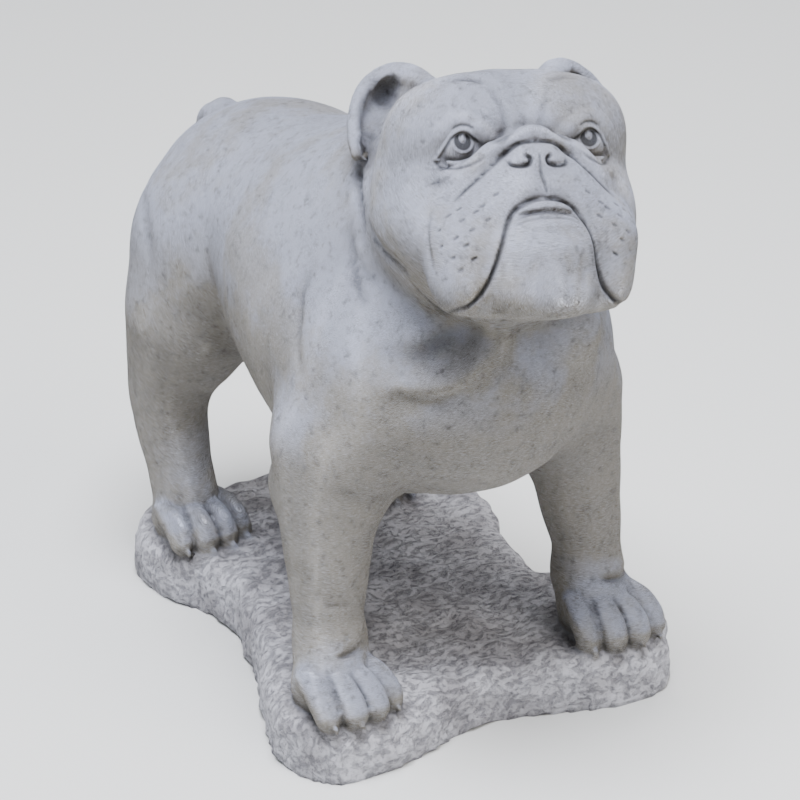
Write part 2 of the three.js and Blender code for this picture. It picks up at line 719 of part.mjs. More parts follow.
// Geometry with only the vertices in use
function makeGeometry(positions, triangles) {
  const numbers = new Map();
  const kept = [];
  const index = triangles.map((vertex) => {
    if (!numbers.has(vertex)) {
      numbers.set(vertex, kept.length / 3);
      kept.push(...positions.slice(vertex * 3, vertex * 3 + 3));
    }
    return numbers.get(vertex);
  });
  const geometry = new THREE.BufferGeometry();
  geometry.setAttribute("position", new THREE.Float32BufferAttribute(kept, 3));
  geometry.setIndex(index);
  geometry.computeVertexNormals();
  return geometry;
}

// Presses the lowest vertices on to the ground, so that the underside is one flat face
function flattenUnderside(positions) {
  const reach = cellSize / 8;
  for (let i = 2; i < positions.length; i += 3) {
    positions[i] = positions[i] < reach ? 0 : positions[i];
  }
}

function makeStatue() {
  const margin = 3 * cellSize;
  const low = [-baseWidth / 2 - margin, drawnFront * unit - dogForward - margin, -1.5 * cellSize];
  const top = baseThickness + dogHeight + margin;
  const high = [baseWidth / 2 + margin, drawnBack * unit - dogForward + margin, top];
  const skin = makeSkin(makeStatueField(), low, high);
  const headStart = baseThickness + (headPlace.z - 130 - drawnDeck) * unit;
  const pawTop = baseThickness + 45 * unit;
  const weightAt = (point) => {
    if (point.z > headStart && point.y < -dogForward) {
      return headFineness;
    }
    return point.z < pawTop && point.z > baseThickness ? pawFineness : 1;
  };
  const triangles = thinSkin(skin, weightAt);
  flattenUnderside(skin.positions);
  const geometry = makeGeometry(skin.positions, triangles);
  const concrete = new THREE.MeshStandardMaterial({ color: 0xa9a7a4, roughness: 0.92, metalness: 0 });
  const statue = new THREE.Mesh(geometry, concrete);
  statue.name = "bulldog_statue";
  return statue;
}

const model = new THREE.Group();
model.add(makeStatue());

export default model;
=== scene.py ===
"""Cast concrete bulldog standing on a rough slab of rock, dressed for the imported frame.

The dog and its slab are one casting, so one mesh stands for the whole statue. Its forms are
given in millimetres: x to the dog's left, y to its tail, z up, with the forelegs at y = 0 and
the ground at z = 0. They are joined and carved as distances, skinned with even quads, refined
where the carving is fine, and laid on the exact surface.
"""

import logging
from dataclasses import dataclass, field
from enum import Enum
from functools import partial
from math import cos, pi, radians, sin, sqrt
from typing import Any, Callable, Sequence

import bmesh
import bpy
import numpy as np
import openvdb
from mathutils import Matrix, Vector, noise

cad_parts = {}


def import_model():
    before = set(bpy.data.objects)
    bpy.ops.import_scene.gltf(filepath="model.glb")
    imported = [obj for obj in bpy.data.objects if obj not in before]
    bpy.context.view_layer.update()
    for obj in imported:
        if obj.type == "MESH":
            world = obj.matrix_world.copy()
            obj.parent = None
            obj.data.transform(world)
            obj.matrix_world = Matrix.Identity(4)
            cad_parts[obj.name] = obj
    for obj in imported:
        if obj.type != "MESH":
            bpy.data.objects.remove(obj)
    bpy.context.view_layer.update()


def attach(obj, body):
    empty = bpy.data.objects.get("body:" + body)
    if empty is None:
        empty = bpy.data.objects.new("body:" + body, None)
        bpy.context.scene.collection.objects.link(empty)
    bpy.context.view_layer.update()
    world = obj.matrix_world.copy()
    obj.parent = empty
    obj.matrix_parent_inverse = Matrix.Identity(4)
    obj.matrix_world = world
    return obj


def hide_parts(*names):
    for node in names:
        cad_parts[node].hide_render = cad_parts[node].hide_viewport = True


LOG = logging.getLogger("bulldog")
Points = np.ndarray
Values = np.ndarray
Point = tuple[float, float, float]
NodeMaker = Callable[..., bpy.types.Node]
MILLIMETRE = 0.001


class Side(Enum):
    """Side of the dog, with the sign of x on that side."""

    RIGHT = -1
    LEFT = 1

    def across(self, points: Sequence[Sequence[float]]) -> list[tuple[float, ...]]:
        """Points given for the dog's left, put on this side."""
        return [(self.value * p[0],) + tuple(p[1:]) for p in points]


# Forms and how they meet


def rotation(x: float = 0.0, y: float = 0.0, z: float = 0.0) -> np.ndarray:
    """Turn about x, then y, then z.

    Args:
        x, y, z: Angles in degrees.

    Returns:
        The three by three matrix.
    """
    a, b, c = np.radians([x, y, z])
    about_x = np.array([[1, 0, 0], [0, cos(a), -sin(a)], [0, sin(a), cos(a)]])
    about_y = np.array([[cos(b), 0, sin(b)], [0, 1, 0], [-sin(b), 0, cos(b)]])
    about_z = np.array([[cos(c), -sin(c), 0], [sin(c), cos(c), 0], [0, 0, 1]])
    return about_z @ about_y @ about_x


def soft_join(a: Values, b: Values, reach: float) -> Values:
    """Lower of two distances, with a fillet that starts a reach apart."""
    blend = np.maximum(reach - np.abs(a - b), 0) / reach
    return np.minimum(a, b) - blend * blend * reach / 4


def soft_carve(a: Values, b: Values, reach: float) -> Values:
    """Distance a with the form of distance b taken out, its edge rounded over a reach."""
    return -soft_join(-a, b, reach)


def spline(points: Sequence[Sequence[float]], steps: int = 6) -> Points:
    """Smooth chain of points through the given ones.

    Args:
        points: Points that the chain passes through.
        steps: Pieces between two given points.

    Returns:
        The chain's points.
    """
    given = np.array(points, float)
    ends = np.vstack([2 * given[0] - given[1], given, 2 * given[-1] - given[-2]])
    chain = []
    for i in range(1, len(ends) - 2):
        p, q, r, s = ends[i - 1:i + 3]
        for t in np.arange(steps) / steps:
            bend = (2 * p - 5 * q + 4 * r - s) * t * t + (3 * q - p - 3 * r + s) * t ** 3
            chain.append(q + 0.5 * ((r - p) * t + bend))
    chain.append(given[-1])
    return np.array(chain)


def chain_distance(points: Points, chain: Points) -> tuple[Values, Values]:
    """Distance of points from a chain.

    Args:
        points: Points to measure.
        chain: Points of the chain.

    Returns:
        The distances, and the share of the chain where each point is nearest.
    """
    starts = chain[:-1] - chain[0]
    edges = np.diff(chain, axis=0)
    lengths = np.einsum("ij,ij->i", edges, edges) + 1e-12
    where = points - chain[0]
    ahead = where @ edges.T - np.einsum("ij,ij->i", starts, edges)
    t = np.clip(ahead / lengths, 0, 1)
    square = np.einsum("ij,ij->i", where, where)[:, None] - 2 * where @ starts.T
    square += np.einsum("ij,ij->i", starts, starts) + t * (t * lengths - 2 * ahead)
    nearest = square.argmin(1)
    rows = np.arange(len(points))
    share = (nearest + t[rows, nearest]) / len(edges)
    return np.sqrt(np.maximum(square[rows, nearest], 0)), share


def value_along(values: Sequence[float], share: Values) -> Values:
    """Values given at even steps of a chain, read at shares of it."""
    return np.interp(share, np.linspace(0, 1, len(values)), values)


def step(values: Values, start: float, end: float) -> Values:
    """Smooth rise from 0 at start to 1 at end."""
    t = np.clip((values - start) / (end - start), 0, 1)
    return t * t * (3 - 2 * t)


@dataclass(frozen=True)
class Form:
    """Solid form: its distance function and the box that holds it."""

    distance: Callable[[Points], Values]
    low: Points
    high: Points


def ball(centre: Point, radii: Point, turned: Point | None = None) -> Form:
    """Ellipsoid.

    Args:
        centre: Its middle.
        radii: Its three radii.
        turned: Angles in degrees about x, y and z.

    Returns:
        The form.
    """
    middle, size = np.array(centre, float), np.array(radii, float)
    matrix = rotation(*turned) if turned else np.eye(3)

    def distance(points: Points) -> Values:
        """Distance from the ellipsoid, exact near its surface."""
        away = (points - middle) @ matrix / size
        near = np.sqrt(np.einsum("ij,ij->i", away, away))
        away = away / size
        slope = np.sqrt(np.einsum("ij,ij->i", away, away)) + 1e-9
        return near * (near - 1) / slope

    return Form(distance, middle - size.max(), middle + size.max())


def rope(points: Sequence[Point], radii: Sequence[float], steps: int = 6) -> Form:
    """Round tube along a smooth chain.

    Args:
        points: Points that its middle line passes through.
        radii: Radii at even steps along it.
        steps: Pieces between two given points.

    Returns:
        The form.
    """
    chain = spline(points, steps)

    def distance(where: Points) -> Values:
        """Distance from the tube."""
        away, share = chain_distance(where, chain)
        return away - value_along(radii, share)

    return Form(distance, chain.min(0) - max(radii), chain.max(0) + max(radii))


def limb(start: Point, end: Point, first: float, last: float) -> Form:
    """Straight tapered tube with round ends."""
    return rope([start, end], [first, last], 1)


class Sculpture:
    """Forms joined, carved and stroked one after another into one body."""

    reach: float = 30.0

    def __init__(self) -> None:
        """Start with nothing."""
        self.steps: list[tuple[Points, Points, Callable[[Values, Points], Values]]] = []
        self.lines: list[tuple[Points, Points, Callable[[Points], Values]]] = []

    def note(self, low: Points, high: Points, margin: float, change: Callable) -> None:
        """Keep one change and the box outside which it is not felt."""
        self.steps.append((low - margin, high + margin, change))

    def join(self, fillet: float, *forms: Form) -> None:
        """Add forms with a fillet."""
        for form in forms:
            def change(value: Values, points: Points, form: Form = form) -> Values:
                """Distance with the form added."""
                return soft_join(value, form.distance(points), fillet)
            self.note(form.low, form.high, self.reach + fillet, change)

    def carve(self, fillet: float, *forms: Form) -> None:
        """Take forms away with a rounded edge."""
        for form in forms:
            def change(value: Values, points: Points, form: Form = form) -> Values:
                """Distance with the form taken away."""
                return soft_carve(value, form.distance(points), fillet)
            self.note(form.low, form.high, self.reach + fillet, change)

    def paint_shade(self, points: Sequence[Point], width: float, shades: Sequence[float]) -> None:
        """Paint shade along a line, where a crease or hollow lies in shadow.

        Args:
            points: Points of the line.
            width: Half its width where it is a third as dark.
            shades: Darkness at even steps, 1 at the most.
        """
        chain = spline(points)

        def dark(where: Points) -> Values:
            """Darkness at points."""
            away, share = chain_distance(where, chain)
            return value_along(shades, share) * np.exp(-(away / width) ** 2)

        self.lines.append((chain.min(0) - 2.6 * width, chain.max(0) + 2.6 * width, dark))

    def soot_and_shade(self, points: Points) -> Values:
        """Darkness of the painted shade lines at points."""
        out = np.zeros(len(points))
        for low, high, dark in self.lines:
            held = np.all((points >= low) & (points <= high), axis=1)
            if held.any():
                out[held] = np.maximum(out[held], dark(points[held]))
        return out

    def furrow(self, points: Sequence[Point], width: float, depths: Sequence[float],
               dark: float = 0.0) -> None:
        """Draw a stroke through space.

        Args:
            points: Points of the stroke.
            width: Half its width where it is a third as deep.
            depths: Depths at even steps, positive where it is cut and negative where raised.
            dark: Darkness of the shade painted in it.
        """
        chain = spline(points)
        # a stroke with a darkness also gets painted shade along it
        if dark:
            self.paint_shade(points, width * 0.8, [0.3 * dark, dark, dark, 0.3 * dark])

        def change(value: Values, where: Points) -> Values:
            """Distance with the stroke drawn."""
            away, share = chain_distance(where, chain)
            return value + value_along(depths, share) * np.exp(-(away / width) ** 2)

        self.note(chain.min(0), chain.max(0), 2.6 * width, change)

    def score(self, points: Sequence[tuple[float, float]], width: float,
              depths: Sequence[float], before: float = 0.0, dark: float = 0.0) -> None:
        """Draw a stroke on the front, as seen along y.

        Args:
            points: Points of the stroke as x and z.
            width: Half its width where it is a third as deep.
            depths: Depths at even steps, positive where it is cut and negative where raised.
            before: It fades out where y is larger than this.
            dark: Darkness of the shade painted in it.
        """
        chain = spline([(x, 0.0, z) for x, z in points])
        low, high = chain.min(0), chain.max(0)
        low[1], high[1] = -1e9, before + 12

        def shade(where: Points) -> Values:
            """Darkness of the painted shade at points."""
            away, share = chain_distance(where * [1, 0, 1], chain)
            ends = np.clip(np.minimum(share, 1 - share) * 8 + 0.3, 0, 1)
            return dark * ends * np.exp(-(away / (width * 0.8)) ** 2)

        if dark:
            self.lines.append((low - 2.6 * width, high + 2.6 * width, shade))

        def change(value: Values, where: Points) -> Values:
            """Distance with the stroke drawn."""
            flat = where.copy()
            fade = np.clip((before + 12 - flat[:, 1]) / 12, 0, 1)
            flat[:, 1] = 0
            away, share = chain_distance(flat, chain)
            return value + fade * value_along(depths, share) * np.exp(-(away / width) ** 2)

        self.note(low, high, 2.6 * width, change)

    def distance(self, points: Points) -> Values:
        """Distance of a close group of points from the body."""
        low, high = points.min(0), points.max(0)
        value = np.full(len(points), 1e3)
        for least, most, change in self.steps:
            if np.any(least > high) or np.any(most < low):
                continue
            if np.all(least <= low) and np.all(most >= high):
                value = change(value, points)
                continue
            held = np.all((points >= least) & (points <= most), axis=1)
            if held.any():
                value[held] = change(value[held], points[held])
        return value


# The dog


@dataclass
class Head:
    """Broad head of the dog, in a frame of its own that is turned on the neck."""

    origin: Point = (3.8, -86.0, 441.3)
    yaw: float = -13.0
    pitch: float = -30.0
    roll: float = 5.0
    far_share: float = 0.94
    eye_centre: Point = (43.5, 3.0, -0.5)
    eye_radius: float = 12.8
    iris: tuple[float, float] = (43.0, 2.0)
    iris_radius: float = 7.4
    pits: tuple[Point, ...] = (
        (60, -21.6, -47.2), (53.2, -23.4, -44), (53.6, -28.9, -51.9), (44.5, -31.2, -46.9),
        (40.2, -32, -43.3), (37.7, -34.5, -52.7), (56.3, -26.7, -83.8), (65.6, -20.5, -56.4),
        (66.2, -21.8, -67.4), (52.7, -31.7, -68.6), (58.2, -29.4, -63), (48.2, -32.7, -58.7),
        (31, -34, -36.5), (60.5, -26, -75.5), (47.5, -30, -77))

    def matrix(self) -> np.ndarray:
        """Turn of the head on the neck."""
        return rotation(z=self.yaw) @ rotation(x=self.pitch) @ rotation(y=self.roll)

    def local(self, points: Points) -> Points:
        """Points of the statue, in the head's frame."""
        return (points - np.array(self.origin)) @ self.matrix()

    def placed(self, points: Sequence[Point]) -> Points:
        """Points of the head's frame, in the statue."""
        return np.array(points, float) @ self.matrix().T + np.array(self.origin)

    def drawn_in(self, side: Side) -> float:
        """Sign of x on a side, made a little smaller on the far one."""
        return side.value * (self.far_share if side is Side.LEFT else 1.0)

    def masses(self, head: Sculpture) -> None:
        """Skull, cheeks, muzzle, jaw and flews."""
        head.join(1, ball((0, 50, 3), (76, 58, 55)))
        for side in Side:
            s = side.value
            w = self.drawn_in(side)
            head.join(20, ball((w * 46, 54, -34), (44, 42, 56)))
            head.join(18, ball((w * 38, 20, 20), (38, 28, 29), (0, s * 12, 0)))
            head.join(18, ball((w * 54, 36, 8), (25, 32, 32)))
        head.join(24, ball((0, 10, -50), (56, 40, 44)))
        head.join(24, ball((0, 40, -78), (56, 54, 34)))
        for side in Side:
            s = side.value
            w = self.drawn_in(side)
            head.join(14, ball((w * 60, 22, -44), (24, 28, 34)))
            head.join(10, limb((s * 14, -20, -32), (s * 43, -7, -63), 18, 27))
            head.join(8, rope([(s * 22, -17, -19), (s * 40, -9, -36), (s * 57, 1, -54)],
                              [11, 12, 11]))
            head.join(10, ball((w * 47, 1, -66), (23, 26, 32)))
            head.join(10, ball((w * 50, -4, -86), (19, 22, 24), (0, s * -14, 0)))
            head.join(5, rope([(s * 16, -20, -100), (s * 34, -8, -105), (s * 50, 10, -101)],
                              [9, 8, 7]))
            head.join(5, rope([(s * 17, -25, -54), (s * 26, -25, -68), (s * 31, -19, -84),
                               (s * 39, -8, -98)], [9, 10.5, 11, 10]))

    def mouth(self, head: Sculpture) -> None:
        """Chin, open lips, teeth and the lower lip."""
        for side in Side:
            s = side.value
            head.join(8, limb((s * 15, -26, -72), (s * 15, -19, -96), 20, 20))
        head.join(8, limb((0, -29, -74), (0, -23, -97), 21, 20))
        head.carve(2.5, ball((0, -54, -47.5), (23, 16, 6.5)))
        head.join(3, rope([(-20, -27, -51), (0, -34.5, -49), (20, -27, -51)], [6.5, 7.5, 6.5]))
        head.join(1.5, rope([(-17, -36, -48.5), (-9, -40.5, -46.8), (0, -42, -46),
                             (9, -40.5, -46.8), (17, -36, -48.5)], [2.2, 3, 3.2, 3, 2.2]))
        head.join(2, rope([(-24, -31.5, -63), (-12, -38, -60), (0, -40.3, -59.2),
                           (12, -38, -60), (24, -31.5, -63)], [6, 8, 8.6, 8, 6]))
        # painted shade in the gap between the lips
        head.paint_shade([(-20, -38, -52), (-10, -43, -50), (0, -44.5, -49.6), (10, -43, -50),
                    (20, -38, -52)], 1.3, [0.8, 0.9, 0.9, 0.8])

    def nose(self, head: Sculpture) -> None:
        """Nose pad, nostrils and the roll of skin over them."""
        head.join(6, ball((0, -20, -14), (21, 14, 12)))
        head.join(4, rope([(-62, 2, -40), (-46, -11, -23), (-26, -19.5, -5.5), (0, -23, 4),
                           (26, -19.5, -5.5), (46, -11, -23), (62, 2, -40)],
                          [3, 6, 6.5, 6.5, 6.5, 6, 3]))
        head.join(5, ball((0, -23, -7), (17, 9, 6)))
        for side in Side:
            # the dark amounts paint shade into the crease under the roll, the nostrils and the
            # groove down the middle
            head.score(side.across([(0, -2), (12, -3.6), (21.5, -10), (37, -23.5), (54, -38)]),
                       1.2, [1.4, 1.7, 2.0, 2.0, 0.8], before=10, dark=0.9)
            head.score(side.across([(0, 12), (16, 7), (30, -3)]), 2.4, [1, 1.6, 0.6])
            head.score(side.across([(8.5, -11.5), (5.8, -14), (7, -17.4), (12.3, -18.9),
                                    (18, -17.8), (19.4, -14.4)]),
                       1.25, [1.5, 3.8, 4, 2, 2.4, 0.8], before=10, dark=1.0)
            head.score(side.across([(12.5, -13.5), (13.5, -13)]), 3.2, [-1.2, -1.2], before=0)
        head.score([(0, -10), (0.4, -19), (0.8, -26), (2, -32), (2.8, -37)], 1.1,
                   [0.7, 1.0, 1.2, 1.2, 0.6], before=10, dark=0.75)

    def lips(self, head: Sculpture) -> None:
        """Edge of the upper lip, fold of the lower lip and folds of the chin."""
        for side in Side:
            # the dark amounts paint shade along the edge of the upper lip and the fold of the
            # lower lip
            head.score(side.across([(2, -40.4), (10, -42), (19.5, -47.5), (26.5, -58),
                                    (31, -71), (35, -85), (40.5, -97), (49, -104.8),
                                    (60, -107.5)]),
                       1.5, [1, 1.6, 2.2, 2.4, 2.6, 2.8, 2.6, 2.2, 1], dark=1.0)
            head.score(side.across([(8, -78), (11, -92), (10, -106)]), 3.4, [0.3, 1.6, 1])
            head.score(side.across([(21, -72), (22, -88), (20, -104)]), 3.2, [0.5, 1.8, 1])
        head.score([(-22, -58.5), (-14, -55.4), (0, -54.4), (14, -55.4), (22, -58.5)],
                   1.2, [0.5, 0.8, 0.8, 0.8, 0.5], dark=0.35)

    def eye(self, head: Sculpture, side: Side) -> None:
        """Eye with its lids, the heavy brow over it and the crease below."""
        x, y, z = self.eye_centre
        radius = self.eye_radius
        head.carve(2.5, rope(side.across([(31, -13, -1), (37, -14, 0), (43, -14, -1),
                                          (49, -12, -4), (55, -7, -8)]), [3, 6.5, 8, 7, 3.5]))
        head.join(4, rope(side.across([(64, 8, 0), (56, 0, 8), (45, -4.5, 15), (34, -6, 10.5),
                                       (25, -7, 3)]), [3, 6, 6.2, 6.4, 4]))
        head.join(5, ball((side.value * 43, -4, -17), (16, 9, 6), (0, side.value * 14, 0)))
        head.join(0.5, ball((side.value * x, y, z), (radius, radius, radius)))
        head.join(0.8, rope(side.across([(26, -5.5, 0), (33, -8.6, 4.2), (38.5, -9.4, 8),
                                         (44, -9.2, 9.8), (50, -7.2, 6.6), (55, -3.5, -1),
                                         (59.5, 1, -8)]),
                            [0.9, 1.2, 1.4, 1.5, 1.4, 1.3, 0.9]))
        head.join(0.8, rope(side.across([(26, -5.5, -1), (33.5, -8.6, -7.4), (40.5, -9.2, -11),
                                         (47.5, -8.2, -12), (53.5, -4.4, -10.6),
                                         (59.5, 1, -8)]),
                            [0.9, 1.4, 1.7, 1.7, 1.5, 0.9]))
        # painted shade in the creases below and above the eye, under the upper lid, along the
        # lower lid and in the inner corner
        head.score(side.across([(33, -10.5), (41, -14.6), (49, -16), (56, -13.4),
                                (60, -8.5)]), 1.3, [0.4, 1.2, 1.3, 1.2, 0.4], dark=0.6)
        head.score(side.across([(36, 10), (40, 12.2), (45, 12.6), (50, 10.4)]), 1.2,
                   [0.4, 0.8, 0.8, 0.3], dark=0.75)
        head.paint_shade(side.across([(27, -6, 0.5), (33, -8.6, 2), (38, -10, 5.4), (44, -10, 7.4),
                                (50, -8, 4.6), (55, -4, -3.4)]), 1.3, [0.9, 1, 0.9, 0.8])
        head.paint_shade(side.across([(27, -6, -0.5), (33.5, -9, -5), (40, -10.4, -8.6),
                                (47, -9.4, -9.6), (53, -5.4, -8.4)]), 1.1, [0.9, 0.6, 0.5, 0.6])
        head.paint_shade(side.across([(25, -8, 0), (31, -8, 0.5)]), 2.6, [0.7, 0.8])
        ring = [(self.iris[0] + self.iris_radius * cos(turn * pi / 6),
                 self.iris[1] + self.iris_radius * sin(turn * pi / 6)) for turn in range(13)]
        head.score(side.across(ring), 0.9, [-0.6, -0.6], before=-4)
        middle = side.across([(self.iris[0], y - radius, self.iris[1])])[0]
        head.furrow([middle, (middle[0] + 0.2, middle[1], middle[2])], 4.6, [1.4, 1.4])
        head.furrow([(middle[0], middle[1], middle[2] + 1.2),
                     (middle[0], middle[1], middle[2] + 3.8)], 1.9, [-1.9, -1.9])

    def pupil_shade(self, points: Points) -> Values:
        """Painted shade in the recessed pupil discs, with the raised light left out.

        Args:
            points: Points in the head's frame.

        Returns:
            1 on a pupil and 0 off it.
        """
        across = np.abs(points[:, 0]) - self.iris[0]
        up = points[:, 2] - self.iris[1]
        disc = step(np.hypot(across, up), self.iris_radius - 1.0, self.iris_radius - 2.2)
        light = step(np.hypot(across / 2.3, (up - 2.5) / 3.4), 1.25, 0.8)
        return disc * (1 - light) * (points[:, 1] < 0)

    def folds(self, head: Sculpture, side: Side) -> None:
        """Furrows of the brow and creases of the cheek."""
        # The dark amounts and the last number of a furrow paint shade into these creases, darker
        # in the right brow crease.
        head.score(side.across([(20, 41), (16.5, 32), (13, 22), (12, 13), (14, 6.5)]),
                   3.0, [0.6, 1.6, 2.8, 3.4, 2.6], dark=0.3)
        head.score(side.across([(14, 6.5), (19, 1.5), (26, -1.5)]), 2, [2, 2, 0.8], dark=0.7)
        head.score(side.across([(20, 41), (31, 44.3), (43, 42.5), (53, 35.5)]),
                   2.6, [0.8, 1.3, 1.2, 0.5], before=35, dark=0.15)
        head.score(side.across([(23, 42.5), (32, 44), (39, 45)]), 1.1, [0.8, 1.0, 0.5],
                   before=35, dark=0.6 if side is Side.RIGHT else 0.3)
        head.furrow(side.across([(12, 10, 50), (30, 18, 53), (48, 26, 44)]), 3.5, [1, 2.2, 1])
        head.furrow(side.across([(84, 14, -10), (75, 4, -12), (63, -3, -12), (57, -3, -11)]),
                    3.0, [1, 2.2, 2.4, 1.5])
        head.paint_shade(side.across([(71, 2, -12), (64, -3, -12)]), 1.6, [0.5, 0.4])
        head.furrow(side.across([(68.5, -9, -46), (71.3, -9, -58), (71.2, -9.6, -70),
                                 (69.5, -10, -80)]), 2.6, [0.6, 1.6, 1.8, 1.0], 0.3)
        head.carve(7, rope(side.across([(90, 66, -42), (88, 52, -60), (81, 36, -78),
                                        (72, 27, -92), (60, 32, -104)]), [2, 4, 7, 6, 3]))
        head.furrow(side.across([(57.3, -2.6, -22.5), (65.7, -1.1, -24.6)]), 1.1, [1.4, 0.9], 0.9)

    def ear(self, head: Sculpture, side: Side) -> None:
        """Ear folded back like a petal, with its hollow."""
        s = side.value
        head.carve(8, ball((s * 86, 74, 28), (15, 20, 34)))
        head.join(8, ball((s * 62, 88, 34), (28, 13, 31), (0, 0, s * 16)))
        head.join(5, rope(side.across([(38, 72, 50), (50, 78, 60), (63, 84, 62), (77, 86, 53),
                                       (85, 86, 36), (88, 82, 20), (91, 78, 8)]),
                          [8, 9, 8, 7.5, 7.5, 7.5, 4]))
        head.carve(2.5, rope(side.across([(64, 79, 54), (69.5, 79, 45), (75.5, 80, 32),
                                          (80, 79, 20), (84, 76, 11)]), [7, 10.5, 9.5, 7, 4]))
        head.carve(2, ball((s * 66, 83, 49), (8, 12, 10)))
        head.join(2.5, rope(side.across([(72, 91, 38), (78, 90, 31), (75, 89, 24)]),
                            [4, 5, 4]))
        # painted shade in the ear's hollow, its lower pocket and along its inner rim
        head.paint_shade(side.across([(73, 82, 56), (67, 86, 52), (64, 87, 43)]), 7.5,
                   [0.45, 0.6, 0.5])
        head.paint_shade(side.across([(79, 85, 21), (83, 82, 13)]), 5, [0.7, 0.5])
        head.paint_shade(side.across([(85, 80, 15), (86, 78, 27), (83, 80, 42), (76, 80, 54)]), 3.4,
                   [0.5, 0.6, 0.6, 0.5])

    def whisker_pits(self, head: Sculpture, side: Side) -> None:
        """Rows of short pits on the lip pad."""
        for x, y, z in self.pits:
            pit = side.across([(x - 1.2, y, z + 0.5), (x + 1.2, y + 0.6, z - 0.5)])
            head.furrow(pit, 1.0, [1.1, 1.1])
            # painted shade in the pit
            head.paint_shade(pit, 0.95, [0.85, 0.85])

    def sculpt(self) -> Sculpture:
        """Whole head in its own frame."""
        head = Sculpture()
        self.masses(head)
        self.mouth(head)
        self.nose(head)
        for side in Side:
            self.eye(head, side)
            self.folds(head, side)
            self.ear(head, side)
            self.whisker_pits(head, side)
        self.lips(head)
        return head

    def form(self) -> Form:
        """Head as one form of the statue."""
        sculpture, middle = self.sculpt(), np.array(self.origin)

        def distance(points: Points) -> Values:
            """Distance from the head."""
            return sculpture.distance(self.local(points))

        return Form(distance, middle - 180, middle + 180)


@dataclass
class Paw:
    """Broad paw with four toes, each with a short claw."""

    centre: Point
    heading: float
    width: float = 64.0
    length: float = 62.0
    places: tuple[tuple[float, float, float], ...] = (
        (-0.4, 7.0, 0.14), (-0.137, 0.0, 0.152), (0.137, 0.0, 0.152), (0.4, 7.0, 0.14))

    def shape(self, body: Sculpture) -> None:
        """Join the paw to the body."""
        turned, middle = rotation(z=self.heading), np.array(self.centre, float)

        def at(x: float, y: float, z: float) -> Point:
            """Point of the paw, in the statue."""
            return tuple(middle + turned @ np.array([x, y, z]))

        body.join(12, ball(at(0, 8, 11), (self.width * 0.45, self.length * 0.46, 15)))
        for across, back, share in self.places:
            x, radius = across * self.width, share * self.width
            body.join(0.9, rope([at(x * 0.86, back + 2, 23),
                                 at(x * 0.95, back - self.length * 0.2, 21),
                                 at(x, back - self.length * 0.38, 15),
                                 at(x * 1.01, back - self.length * 0.47, radius * 0.95)],
                                [radius * 0.9, radius * 1.02, radius * 1.06, radius]))
            tip = back - self.length * 0.47 - radius
            body.join(1.0, rope([at(x * 1.01, tip + 4, radius * 0.75),
                                 at(x * 1.02, tip - 0.6, radius * 0.45),
                                 at(x * 1.02, tip - 1.8, radius * 0.15)], [2.4, 1.9, 1.0]))
        # painted shade in the clefts between the toes
        for across in (-0.26, 0.0, 0.26):
            x, back = across * self.width, 14 * abs(across)
            body.paint_shade([at(x * 0.85, back - self.length * 0.12, 31),
                        at(x * 0.97, back - self.length * 0.34, 24),
                        at(x, back - self.length * 0.5, 15), at(x, back - self.length * 0.55, 4)],
                       2.0, [0.3, 0.9, 0.95, 0.95])


